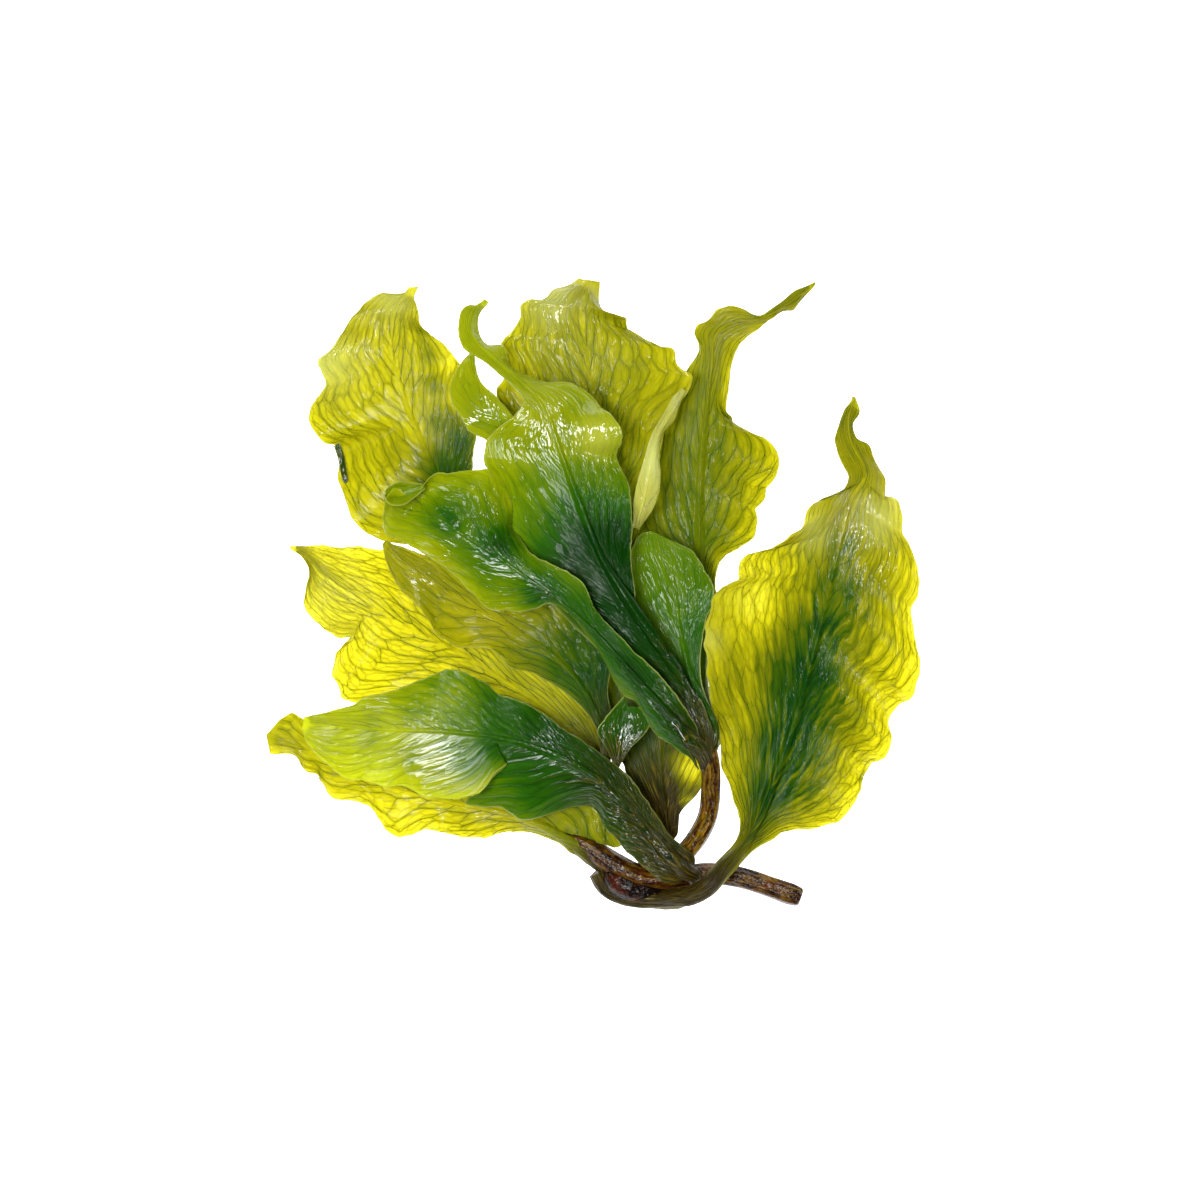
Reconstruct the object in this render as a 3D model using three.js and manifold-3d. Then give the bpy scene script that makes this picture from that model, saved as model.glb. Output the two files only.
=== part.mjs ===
// A young kelp frond, as cut: ruffled blades on one short branching stem, lying on its back.
// Millimetres. +X runs to the right, +Y from the cut stem towards the blade tips, +Z up.
// The origin is on the surface that the frond lies on, under its middle.
import * as THREE from 'three';
import { mergeVertices } from 'three/addons/utils/BufferGeometryUtils.js';
import Module from 'manifold-3d';

// Driving dimensions
const FROND_WIDTH = 197; // from the leftmost blade tip to the rightmost margin
const BLADE_THICKNESS = 0.8;
const SURFACE_GAP = 0.02; // least height of a blade's underside
const STIPE_RADIUS = 3;
const CENTER_STALK_RADIUS = 2.9;
const LEFT_STALK_RADIUS = 2.6;
const RIGHT_BLADE_STALK_RADIUS = 2.9;
const CENTER_BLADE_STALK_RADIUS = 2.4;
const CENTER_LEFT_BLADE_STALK_RADIUS = 2.6;
const UPPER_RIGHT_STALK_RADIUS = 2.1;
const THIN_STALK_RADIUS = 1.5;
const LEAFLET_STALK_RADIUS = 1.2;
const LOBE_RIB_RADIUS = 0.5;

// The outlines below are read by eye from a square picture, taken from straight above. A point is
// [across, down, height]: across and down in picture points, height above the surface in millimetres.
const PICTURE_CENTER = 600;
const FROND_WIDTH_IN_PICTURE = 656;
const FROND_CENTER_ACROSS = 593;
const FROND_CENTER_DOWN = 594.5;
const POINT = FROND_WIDTH / FROND_WIDTH_IN_PICTURE;
const VIEW_HEIGHT = 2500; // height that the picture is taken from, in millimetres

// How a blade is shaped between its outlines
const SAG_POWER = 1.6; // a blade stays flat near its midrib and turns up or down towards its margin
const RIB_FADE = 2.5; // how fast the midrib thins from the stalk to the tip
const LEAST_RIB = 0.12; // midrib at the tip, as a share of the stalk
const RIB_LINE_MIN = 0.12; // place of the first line beside the midrib, as a share of the half width
const RIB_LINE_MAX = 0.6;
const STEM_STEPS = 2; // cross-sections for each point of a stem, or of a stalk that is in plain view
const SLOPE_STEP = 0.02; // step that slopes are measured over

// A blade that lies on the surface: heights up to SETTLED_TOP are pressed down, so its waves touch
const SETTLED_LOW = 2.5;
const SETTLED_TOP = 7;
const LOWEST_MIDDLE = BLADE_THICKNESS / 2 + SURFACE_GAP;

// Stems: points with a radius each, from the cut end or the fork to the tip
const stipe = {
  stalkSteps: STEM_STEPS,
  stalk: [
    [801, 898, 3.6, STIPE_RADIUS * 0.95],
    [790, 894, 3.6, STIPE_RADIUS * 1.12],
    [770, 887, 3.6, STIPE_RADIUS * 1.05],
    [740, 878, 3.6, STIPE_RADIUS * 1.05],
    [705, 874, 3.8, STIPE_RADIUS * 1.05],
    [670, 879, 4.2, STIPE_RADIUS],
    [640, 879, 4.2, STIPE_RADIUS * 1.05],
    [615, 871, 4.2, STIPE_RADIUS],
    [602, 864, 4.2, STIPE_RADIUS],
  ],
};

const stalkCenter = {
  stalkSteps: STEM_STEPS,
  stalk: [
    [685, 853, 6.6, CENTER_STALK_RADIUS],
    [696, 839, 8.5, CENTER_STALK_RADIUS],
    [708, 815, 11.5, CENTER_STALK_RADIUS],
    [711, 785, 14.5, CENTER_STALK_RADIUS],
    [710, 764, 17, CENTER_STALK_RADIUS],
    [707, 750, 18.3, CENTER_STALK_RADIUS],
  ],
};

const stalkLeft = {
  stalkSteps: STEM_STEPS,
  stalk: [
    [646, 858, 4.5, LEFT_STALK_RADIUS],
    [628, 828, 4.5, LEFT_STALK_RADIUS],
    [612, 790, 5, LEFT_STALK_RADIUS],
    [604, 770, 5.5, LEFT_STALK_RADIUS],
  ],
};

// Blades: a stalk, then rows from base to tip. A row is [middle, left margin, right margin], and each
// margin lists its points from that row up to the next, as seen looking from the base to the tip.
const bladeRight = {
  stalkRadius: RIGHT_BLADE_STALK_RADIUS,
  stalkSteps: STEM_STEPS,
  stalk: [
    [603, 889, 3.2],
    [624, 899, 3.5],
    [655, 902, 4.5],
    [685, 899, 7.5],
    [706, 888, 10.8],
    [725, 867, 11],
  ],
  lying: true,
  rows: [
    [[745, 843, 9.5], [[735, 841, 10], [740, 820, 11]], [[752, 852, 10], [765, 843, 10], [785, 833, 9]]],
    [[772, 785, 9], [[732, 795, 11], [722, 767, 11]], [[812, 829, 10], [834, 823, 7], [852, 808, 8]]],
    [
      [795, 720, 9],
      [[719, 740, 14], [711, 705, 16.2]],
      [[861, 790, 11], [864, 774, 12], [874, 763, 8], [886, 757, 5]],
    ],
    [
      [813, 655, 8],
      [[706, 671, 21.5], [706, 635, 23]],
      [[891, 742, 5], [889, 722, 9], [897, 707, 10], [910, 698, 6]],
    ],
    [
      [828, 595, 7],
      [[711, 604, 22], [721, 588, 20], [737, 581, 16]],
      [[919, 678, 4], [921, 655, 6], [914, 633, 10]],
    ],
    [
      [840, 545, 7],
      [[738, 565, 12], [750, 553, 10], [771, 548, 12], [787, 539, 14]],
      [[912, 612, 10], [919, 592, 6], [920, 570, 4], [911, 548, 6]],
    ],
    [
      [852, 500, 10],
      [[802, 526, 12], [806, 513, 9], [818, 501, 8], [838, 495, 11]],
      [[902, 532, 9], [901, 512, 7], [894, 501, 6], [885, 499, 9]],
    ],
    [[865, 472, 13], [[848, 480, 13], [843, 466, 15]], [[886, 480, 10], [880, 468, 10], [872, 455, 12]]],
    [[852, 444, 15], [[838, 455, 17], [834, 441, 17]], [[868, 444, 14], [857, 438, 15]]],
    [[848, 420, 14], [[839, 424, 15], [845, 408, 13]], [[852, 426, 14], [859, 414, 12]]],
  ],
  tip: [[854, 398, 10], [853, 399, 10], [855.5, 399, 10]],
};

const bladeUpperRight = {
  stalkRadius: UPPER_RIGHT_STALK_RADIUS,
  stalk: [[712, 736, 12.2], [702, 690, 10.3], [701, 640, 8.5]],
  lying: true,
  rows: [
    [[700, 590, 6], [[692, 598, 5], [668, 572, 5]], [[717, 598, 6], [716, 580, 7], [721, 560, 6]]],
    [[700, 535, 4.5], [[636, 545, 4], [628, 515, 5]], [[737, 549, 3], [751, 540, 4], [756, 524, 8]]],
    [
      [700, 485, 4.5],
      [[636, 480, 6], [647, 450, 5]],
      [[755, 509, 9], [763, 503, 7], [766, 489, 4], [776, 477, 3]],
    ],
    [
      [703, 440, 5],
      [[658, 420, 4], [670, 398, 4]],
      [[780, 461, 4], [773, 446, 7], [760, 436, 8], [748, 431, 5]],
    ],
    [[708, 400, 6], [[683, 378, 4], [691, 363, 4]], [[733, 420, 4], [728, 408, 8], [728, 392, 9]]],
    [[712, 365, 7], [[698, 350, 5], [697, 343, 6]], [[730, 374, 8], [732, 360, 7]]],
    [[716, 335, 8], [[693, 333, 8], [698, 324, 9], [708, 319, 8]], [[739, 345, 6], [748, 337, 6]]],
    [[735, 322, 10], [[716, 309, 6], [727, 306, 7], [742, 308, 10]], [[757, 330, 8]]],
    [[757, 320, 11], [[754, 315, 11], [762, 315, 12]], [[765, 323, 10]]],
    [[771, 314, 12], [[771, 309, 12], [783, 300, 11]], [[773, 318, 12], [783, 312, 10]]],
    [[795, 299, 10], [[796, 290, 10], [806, 286, 9]], [[794, 310, 9], [801, 300, 8]]],
  ],
  tip: [[815, 283, 8], [814, 282, 8], [816, 284, 8]],
};

const bladeTop = {
  stalkRadius: THIN_STALK_RADIUS,
  stalk: [[696, 714, 15.5], [678, 660, 12], [652, 600, 11.5], [630, 555, 11]],
  lying: true,
  rows: [
    [
      [617, 515, 11],
      [[605, 525, 11], [570, 505, 10], [540, 480, 9]],
      [[628, 525, 13], [634, 512, 16], [641, 496, 18]],
    ],
    [[606, 465, 9], [[520, 455, 8], [508, 430, 8]], [[647, 484, 18], [657, 468, 18], [662, 448, 18]]],
    [
      [598, 420, 8],
      [[500, 405, 8], [497, 390, 8], [503, 378, 7]],
      [[662, 432, 17], [668, 414, 17], [680, 400, 16]],
    ],
    [[590, 380, 7], [[505, 360, 6], [503, 342, 5]], [[689, 389, 14.5], [692, 376, 12.5], [681, 369, 11]]],
    [[585, 345, 7], [[512, 332, 5], [520, 318, 7]], [[676, 359, 9], [668, 350, 7], [655, 344, 7]]],
    [
      [582, 318, 8],
      [[521, 305, 9], [530, 299, 10], [543, 298, 8]],
      [[641, 338, 6], [630, 330, 5], [626, 318, 10]],
    ],
    [[584, 298, 9], [[555, 288, 6], [568, 284, 6]], [[620, 320, 7], [608, 315, 5], [600, 304, 5]]],
  ],
  tip: [[590, 280, 8], [578, 279, 8], [600, 282, 8]],
};

const bladeCenter = {
  stalkRadius: CENTER_BLADE_STALK_RADIUS,
  stalk: [[703, 726, 22.5], [692, 702, 24]],
  rows: [
    [[680, 675, 25.5], [[678, 697, 25], [655, 680, 25]], [[698, 700, 24], [687, 683, 23]]],
    [[648, 630, 27], [[628, 655, 26], [600, 625, 25.5]], [[668, 655, 22], [650, 633, 22]]],
    [[615, 580, 27.5], [[572, 592, 26], [552, 567, 26]], [[638, 610, 24], [634, 582, 26]]],
    [[590, 530, 27], [[531, 547, 27], [516, 520, 27.5]], [[631, 550, 25], [633, 522, 27]]],
    [[573, 485, 26], [[506, 497, 27.5], [497, 474, 26], [485, 461, 24]], [[631, 498, 27], [628, 482, 25]]],
    [
      [560, 450, 25],
      [[487, 440, 24], [503, 425, 24], [517, 412, 24]],
      [[617, 460, 23], [621, 442, 28], [620, 428, 29]],
    ],
    [[552, 425, 25], [[524, 402, 23.5]], [[611, 417, 27], [600, 407, 22], [594, 399, 19]]],
    [[545, 407, 24], [[522, 398, 23]], [[580, 388, 18], [562, 383, 18]]],
    [[528, 389, 21], [[520, 394, 22], [508, 383, 20]], [[542, 381, 18], [520, 373, 16]]],
    [[500, 364, 17], [[493, 370, 18], [480, 360, 16]], [[507, 361, 14], [503, 348, 13]]],
    [[478, 344, 14], [[464, 348, 14], [459, 336, 13]], [[488, 346, 12], [481, 338, 11]]],
    [[469, 324, 12], [[459, 321, 12], [462, 309, 11]], [[478, 326, 10], [479, 316, 9]]],
    [[474, 309, 10], [[469, 305, 10], [477, 306, 9]], [[482, 310, 8]]],
  ],
  tip: [[486, 301, 8], [484, 299, 8], [489, 302, 8]],
};

// The lobe that grows out of the centre blade's left margin
const centerLobe = {
  stalkRadius: LOBE_RIB_RADIUS,
  stalk: [],
  rows: [
    [[530, 450, 25], [[518, 462, 24.5]], [[540, 437, 24.5]]],
    [[500, 425, 22], [[484, 439, 22], [467, 428, 20]], [[522, 425, 23], [508, 410, 21]]],
    [[478, 398, 19], [[455, 408, 18.5], [449, 393, 16], [459, 367, 13]], [[494, 395, 19], [481, 380, 17]]],
  ],
  tip: [[472, 352, 11], [470, 353, 11], [474, 353, 11]],
};

const bladeCenterLeft = {
  stalkRadius: CENTER_LEFT_BLADE_STALK_RADIUS,
  stalk: [[692, 741, 24.5]],
  rows: [
    [[688, 736, 25], [[700, 771, 20], [688, 755, 21]], [[697, 727, 27], [686, 708, 29]]],
    [[655, 700, 29], [[668, 743, 22], [652, 729, 23]], [[664, 680, 31], [642, 658, 31]]],
    [[622, 662, 30.5], [[640, 706, 24], [624, 692, 23]], [[618, 634, 31], [600, 614, 31]]],
    [[590, 628, 31], [[611, 671, 24], [600, 650, 24]], [[591, 601, 33], [583, 583, 34]]],
    [[560, 602, 31], [[588, 636, 25], [579, 621, 25], [566, 612, 26]], [[565, 571, 34], [547, 562, 33]]],
    [[530, 580, 30], [[551, 603, 27], [530, 609, 25], [508, 611, 24]], [[533, 556, 28.3], [524, 543, 24.3]]],
    [[497, 557, 29], [[488, 608, 24], [470, 593, 24]], [[515, 527, 22], [513, 503, 21.5]]],
    [[462, 534, 28], [[452, 574, 23], [436, 560, 23]], [[505, 481, 20], [493, 470, 20]]],
    [[430, 515, 26], [[420, 550, 20], [402, 542, 19]], [[470, 471, 23], [450, 473, 25]]],
    [[412, 505, 22], [[387, 535, 17], [383, 522, 17]], [[437, 473, 27], [424, 485, 28], [413, 498, 27]]],
  ],
  tip: [[388, 495, 29], [386, 503, 28], [395, 485, 28]],
};

const bladeUpperLeft = {
  stalkRadius: THIN_STALK_RADIUS,
  stalk: [[694, 736, 15], [650, 690, 16], [590, 635, 17.5], [530, 575, 18], [485, 530, 14]],
  lying: true,
  rows: [
    [[447, 492, 9], [[440, 520, 7], [415, 543, 6], [384, 541, 6]], [[463, 492, 10], [470, 474, 9]]],
    [
      [428, 455, 6],
      [[358, 527, 5], [347, 508, 5], [343, 490, 7], [339, 478, 10], [338, 451, 12]],
      [[474, 455, 8], [476, 435, 9]],
    ],
    [[412, 418, 5], [[334, 444, 8], [321, 440, 4], [311, 426, 4]], [[474, 415, 8], [468, 395, 8]]],
    [[400, 385, 5], [[310, 408, 6], [316, 397, 8], [326, 384, 9]], [[463, 378, 7], [461, 366, 5]]],
    [[392, 355, 6], [[320, 371, 6], [318, 360, 4], [332, 350, 5]], [[450, 353, 4], [440, 342, 4]]],
    [[392, 328, 7], [[343, 331, 8], [355, 314, 9]], [[430, 333, 5], [422, 326, 8]]],
    [[396, 310, 9], [[367, 302, 8], [380, 293, 6]], [[418, 317, 11], [416, 304, 11]]],
    [[408, 294, 9], [[393, 294, 8], [403, 294, 9]], [[414, 298, 10]]],
  ],
  tip: [[414, 287, 9], [409, 287, 9], [419, 286, 9]],
};

const bladeLeftBack = {
  stalkRadius: THIN_STALK_RADIUS,
  stalk: [[597, 756, 5.5]],
  lying: true,
  rows: [
    [[590, 748, 5.5], [[592, 762, 5], [568, 750, 4]], [[602, 742, 6], [592, 716, 5]]],
    [[550, 712, 4.5], [[535, 728, 4], [500, 720, 4]], [[568, 688, 5], [532, 658, 5]]],
    [[500, 678, 4], [[460, 716, 3], [425, 712, 4]], [[505, 632, 4], [480, 605, 4]]],
    [[455, 650, 4], [[395, 707, 4], [362, 703, 3]], [[455, 580, 5], [435, 562, 6]]],
    [[415, 632, 5], [[341, 698, 5], [338, 687, 7], [331, 674, 5]], [[412, 553, 5], [392, 550, 3]]],
    [[385, 615, 6], [[334, 657, 3], [342, 646, 5], [353, 638, 8]], [[375, 548, 4], [352, 547, 6]]],
    [[355, 598, 5], [[340, 637, 7], [324, 631, 4], [311, 617, 3]], [[335, 547, 6], [318, 546, 4]]],
    [[325, 575, 4], [[304, 604, 4], [305, 588, 6], [309, 573, 7]], [[310, 546, 4], [305, 545.5, 4]]],
    [[303, 553, 5], [[302, 556.5, 6]], [[302, 546, 5]]],
  ],
  tip: [[290, 547.5, 5], [290, 549, 5], [289, 546, 5]],
};

const bladeLeftInner = {
  stalkRadius: THIN_STALK_RADIUS,
  stalk: [[606, 757, 10.5]],
  rows: [
    [[601, 728, 10], [[594, 724, 10], [582, 708, 10]], [[611, 712, 10], [608, 690, 11]]],
    [[580, 685, 12], [[565, 693, 10], [545, 680, 9]], [[602, 662, 13], [590, 640, 14]]],
    [[550, 652, 13], [[527, 672, 9], [510, 667, 9]], [[572, 620, 14], [545, 605, 14]]],
    [[515, 630, 13], [[500, 655, 10], [488, 650, 12]], [[515, 598, 14], [488, 590, 14]]],
    [[480, 610, 13], [[472, 648, 12], [457, 648, 10]], [[465, 577, 14], [448, 566, 14]]],
    [[448, 592, 13], [[445, 642, 9], [437, 632, 11]], [[434, 557, 15], [422, 552, 15]]],
    [[420, 574, 13], [[422, 609, 14], [405, 593, 12]], [[410, 549, 15], [401, 546, 15]]],
    [[398, 556, 13], [[393, 576, 10], [387, 560, 11]], [[393, 543, 14]]],
  ],
  tip: [[384, 542, 13], [382, 544, 13], [387, 540, 13]],
};

const bladeLowerLeftFront = {
  stalkRadius: LEFT_STALK_RADIUS,
  stalk: [],
  rows: [
    [[682, 868, 11], [[672, 884, 10.5]], [[694, 857, 10.5]]],
    [[655, 840, 13], [[645, 868, 12]], [[668, 832, 12.5]]],
    [[628, 808, 15], [[622, 846, 13], [605, 828, 12]], [[648, 801, 14], [630, 779, 14]]],
    [[595, 778, 17], [[592, 809, 11], [562, 810, 10]], [[608, 757, 14], [587, 744, 14]]],
    [[555, 755, 18], [[538, 817, 10], [520, 820, 9], [498, 808, 9.5]], [[562, 727, 15], [542, 713, 15]]],
    [[518, 742, 18.5], [[465, 804, 9.5], [478, 792, 13], [506, 764, 18]], [[520, 702, 16], [498, 694, 16]]],
    [[480, 735, 19], [[497, 772, 19], [474, 796, 18.5], [450, 798, 18]], [[480, 680, 17], [462, 671, 18]]],
    [[440, 731, 18.5], [[425, 797, 17], [405, 787, 16]], [[440, 672, 18], [420, 680, 16]]],
    [[400, 730, 17.5], [[385, 787, 15], [365, 780, 15]], [[398, 690, 15], [372, 695, 14.5]]],
    [[360, 728, 16], [[345, 778, 14], [330, 765, 14]], [[348, 706, 14], [330, 712, 14]]],
    [[328, 726, 16], [[315, 752, 14], [306, 741, 14]], [[315, 715, 14.5]]],
  ],
  tip: [[303, 722, 16], [302, 728, 16], [304, 717, 16]],
};

const bladeLowerLeftBack = {
  stalkRadius: LEFT_STALK_RADIUS,
  stalk: [[593, 858, 4.3], [582, 849, 4.6]],
  lying: true,
  rows: [
    [[574, 842, 5], [[570, 853, 4.5], [560, 844, 4]], [[590, 841, 5], [620, 846, 5], [614, 834, 5]]],
    [[556, 833, 5.5], [[550, 838, 3.5], [540, 835, 3]], [[598, 817, 6], [570, 810, 6]]],
    [[534, 823, 5.5], [[530, 833, 2.5], [518, 832, 2]], [[540, 805, 6], [515, 798, 6]]],
    [[500, 812, 5], [[505, 832, 2], [483, 837, 3]], [[490, 792, 6], [465, 788, 6]]],
    [[455, 803, 5], [[460, 838, 5], [443, 832, 6], [427, 831, 3]], [[440, 781, 6], [415, 775, 6]]],
    [[410, 793, 5], [[411, 836, 2], [397, 837, 2], [382, 825, 4]], [[390, 767, 6], [370, 760, 6]]],
    [[368, 780, 6], [[374, 811, 6], [366, 804, 5], [350, 802, 3]], [[355, 752, 7], [340, 744, 7]]],
    [[332, 766, 7], [[332, 797, 3], [322, 785, 5], [317, 775, 8]], [[325, 733, 8], [313, 724, 8]]],
    [[304, 748, 9], [[306, 771, 9], [296, 757, 8], [286, 755, 6]], [[300, 716, 9], [291, 713, 10]]],
  ],
  tip: [[266, 735, 10], [270, 754, 7], [280, 721, 12]],
};

const smallBladeRight = {
  stalkRadius: THIN_STALK_RADIUS,
  stalk: [[714, 727, 19], [702, 700, 19]],
  rows: [
    [[690, 672, 18.5], [[676, 672, 17], [659, 650, 16]], [[700, 670, 19], [703, 640, 19]]],
    [[680, 630, 17.5], [[641, 628, 16], [630, 605, 16]], [[706, 618, 18], [714, 604, 18]]],
    [[675, 590, 16.5], [[627, 583, 17], [629, 562, 16]], [[713, 588, 18], [707, 573, 16]]],
    [[668, 558, 15.5], [[632, 545, 15], [640, 534, 14]], [[700, 560, 15], [690, 550, 16]]],
  ],
  tip: [[661, 536, 14], [651, 531, 14], [675, 542, 15]],
};

const smallBladeLeft = {
  stalkRadius: LEAFLET_STALK_RADIUS,
  stalk: [],
  rows: [
    [[617, 762, 12.5], [[612, 762, 12.5], [604, 745, 13.5]], [[622, 762, 12.5], [631, 748, 13.5]]],
    [[622, 735, 13], [[597, 731, 14.5], [604, 720, 15]], [[643, 735, 14], [651, 720, 15]]],
  ],
  tip: [[628, 706, 13.5], [624, 696, 15], [640, 707, 15]],
};

const bladeBack = {
  stalkRadius: THIN_STALK_RADIUS,
  stalk: [[664, 857, 4.5], [668, 840, 5]],
  lying: true,
  rows: [
    [[667, 825, 5], [[660, 832, 5], [645, 805, 4.5]], [[677, 836, 5], [681, 812, 5]]],
    [[662, 780, 5], [[630, 780, 5], [620, 760, 5]], [[700, 788, 5], [712, 760, 5]]],
    [[660, 735, 5], [[612, 738, 4], [604, 715, 4]], [[722, 740, 5], [727, 720, 6]]],
    [[658, 690, 5], [[600, 690, 3], [601, 665, 4]], [[718, 700, 4], [700, 672, 3.5]]],
    [[652, 650, 4.5], [[607, 645, 5], [622, 622, 5]], [[690, 650, 3], [672, 628, 4]]],
  ],
  tip: [[645, 615, 4.5], [637, 613, 4.5], [655, 614, 4.5]],
};

// Heights of a lying blade, pressed down towards the surface
function settledHeight(height) {
  if (height >= SETTLED_TOP) {
    return height;
  }
  const share = Math.max(0, height - SETTLED_LOW) / (SETTLED_TOP - SETTLED_LOW);
  return LOWEST_MIDDLE + share * (SETTLED_TOP - LOWEST_MIDDLE);
}

// A picture point at its real place. A raised point looks further from the picture's centre than it is.
function place([across, down, height], lying) {
  const z = lying ? settledHeight(height) : height;
  const lean = 1 - z / VIEW_HEIGHT;
  const x = (across - PICTURE_CENTER) * lean + PICTURE_CENTER - FROND_CENTER_ACROSS;
  const y = (PICTURE_CENTER - down) * lean + FROND_CENTER_DOWN - PICTURE_CENTER;
  return new THREE.Vector3(x * POINT, y * POINT, z);
}

// A smooth rail through points that are grouped in rows: at(g) gives its place at row number g
function rail(groups) {
  const points = groups.flat();
  const starts = [];
  let count = 0;
  for (const group of groups) {
    starts.push(count);
    count += group.length;
  }
  const curve = new THREE.CatmullRomCurve3(points, false, 'centripetal');
  const last = groups.length - 1;
  return (g) => {
    const row = Math.min(Math.floor(g), last - 1);
    const index = starts[row] + (g - row) * groups[row].length;
    return curve.getPoint(Math.min(index / (points.length - 1), 1));
  };
}

// The middle, left and right rails of a stem or blade, with the radius of its rib along them
function bladeRails({ stalk, stalkRadius, stalkSteps = 1, rows = [], tip, lying }) {
  const stalkPoints = stalk.map((point) => place(point, lying));
  const path = [...stalkPoints];
  for (const row of rows) {
    path.push(place(row[0], lying));
  }
  const middle = path.map((point) => [point]);
  const left = [];
  const right = [];
  stalkPoints.forEach((point, i) => {
    const along = path[Math.min(i + 1, path.length - 1)].clone().sub(path[Math.max(i - 1, 0)]);
    const side = new THREE.Vector3(-along.y, along.x, 0).normalize();
    side.multiplyScalar(stalk[i][3] ?? stalkRadius);
    left.push([point.clone().add(side)]);
    right.push([point.clone().sub(side)]);
  });
  for (const [, leftMargin, rightMargin] of rows) {
    left.push(leftMargin.map((point) => place(point, lying)));
    right.push(rightMargin.map((point) => place(point, lying)));
  }
  if (tip) {
    middle.push([place(tip[0], lying)]);
    left.push([place(tip[1], lying)]);
    right.push([place(tip[2], lying)]);
  }
  const last = middle.length - 1;
  const bladeStart = rows.length > 0 ? Math.max(stalk.length - 1, 0) : last;
  const stations = [];
  for (let row = 0; row < last; row += 1) {
    const steps = row < stalk.length ? stalkSteps : Math.max(left[row].length, right[row].length);
    for (let step = 0; step < steps; step += 1) {
      stations.push(row + step / steps);
    }
  }
  stations.push(last);
  const ribAt = (g) => {
    if (g <= bladeStart) {
      const row = Math.min(Math.floor(g), last - 1);
      const here = stalk[row]?.[3] ?? stalkRadius;
      const next = stalk[row + 1]?.[3] ?? here;
      return here + (next - here) * (g - row);
    }
    const share = (g - bladeStart) / (last - bladeStart);
    return stalkRadius * (LEAST_RIB + (1 - LEAST_RIB) * (1 - share) ** RIB_FADE);
  };
  return { middle: rail(middle), left: rail(left), right: rail(right), last, stations, ribAt };
}

// The middle surface of a blade: g is the row number along it, v runs from -1, left, to 1, right
function surfacePoint(rails, g, v) {
  const row = THREE.MathUtils.clamp(g, 0, rails.last);
  const across = THREE.MathUtils.clamp(v, -1, 1);
  const share = Math.abs(across);
  const middle = rails.middle(row);
  const margin = across < 0 ? rails.left(row) : rails.right(row);
  const point = middle.clone().lerp(margin, share);
  point.z = Math.max(middle.z + (margin.z - middle.z) * share ** SAG_POWER, LOWEST_MIDDLE);
  return point;
}

function surfaceNormal(rails, g, v) {
  const along = surfacePoint(rails, g + SLOPE_STEP, v).sub(surfacePoint(rails, g - SLOPE_STEP, v));
  const across = surfacePoint(rails, g, v + SLOPE_STEP).sub(surfacePoint(rails, g, v - SLOPE_STEP));
  return across.cross(along).normalize();
}

// Places of the lines across one half of a blade: the midrib, its shoulder, halfway and the margin
function halfLines(rib, halfWidth) {
  const shoulder = THREE.MathUtils.clamp(rib / halfWidth, RIB_LINE_MIN, RIB_LINE_MAX);
  return [shoulder, (1 + shoulder) / 2, 1];
}

// One closed solid: an upper and a lower sheet of points with walls around them
function bladeGeometry(blade) {
  const rails = bladeRails(blade);
  const positions = [];
  const upper = [];
  const lower = [];
  for (const g of rails.stations) {
    const rib = rails.ribAt(g);
    const middle = rails.middle(g);
    const leftWidth = middle.distanceTo(rails.left(g));
    const rightWidth = middle.distanceTo(rails.right(g));
    const leftLines = halfLines(rib, leftWidth).reverse();
    const lines = [...leftLines.map((line) => -line), 0, ...halfLines(rib, rightWidth)];
    const upperRow = [];
    const lowerRow = [];
    for (const v of lines) {
      const fromRib = Math.abs(v) * (v < 0 ? leftWidth : rightWidth);
      const half = Math.hypot(BLADE_THICKNESS / 2, Math.sqrt(Math.max(0, rib ** 2 - fromRib ** 2)));
      const center = surfacePoint(rails, g, v);
      const offset = surfaceNormal(rails, g, v).multiplyScalar(half);
      for (const [sheet, point] of [
        [upperRow, center.clone().add(offset)],
        [lowerRow, center.clone().sub(offset)],
      ]) {
        sheet.push(positions.length / 3);
        positions.push(point.x, point.y, Math.max(point.z, 0));
      }
    }
    upper.push(upperRow);
    lower.push(lowerRow);
  }
  const triangles = [];
  const quad = (a, b, c, d) => triangles.push(a, b, c, a, c, d);
  const lastStation = upper.length - 1;
  const lastLine = upper[0].length - 1;
  for (let i = 0; i < lastStation; i += 1) {
    for (let j = 0; j < lastLine; j += 1) {
      quad(upper[i][j], upper[i][j + 1], upper[i + 1][j + 1], upper[i + 1][j]);
      quad(lower[i][j], lower[i + 1][j], lower[i + 1][j + 1], lower[i][j + 1]);
    }
    quad(upper[i][0], upper[i + 1][0], lower[i + 1][0], lower[i][0]);
    quad(upper[i][lastLine], lower[i][lastLine], lower[i + 1][lastLine], upper[i + 1][lastLine]);
  }
  for (let j = 0; j < lastLine; j += 1) {
    quad(upper[0][j], lower[0][j], lower[0][j + 1], upper[0][j + 1]);
    quad(upper[lastStation][j], upper[lastStation][j + 1], lower[lastStation][j + 1], lower[lastStation][j]);
  }
  const geometry = new THREE.BufferGeometry();
  geometry.setAttribute('position', new THREE.Float32BufferAttribute(positions, 3));
  geometry.setIndex(triangles);
  return geometry;
}

// Two closed geometries joined in one
const wasm = await Module();
wasm.setup();

function solid(geometry) {
  const merged = mergeVertices(geometry);
  return new wasm.Manifold(
    new wasm.Mesh({
      numProp: 3,
      vertProperties: new Float32Array(merged.attributes.position.array),
      triVerts: new Uint32Array(merged.index.array),
    }),
  );
}

function joined(first, second) {
  const mesh = solid(first).add(solid(second)).getMesh();
  const geometry = new THREE.BufferGeometry();
  geometry.setAttribute('position', new THREE.BufferAttribute(new Float32Array(mesh.vertProperties), 3));
  geometry.setIndex(new THREE.BufferAttribute(new Uint32Array(mesh.triVerts), 1));
  return geometry;
}

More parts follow.
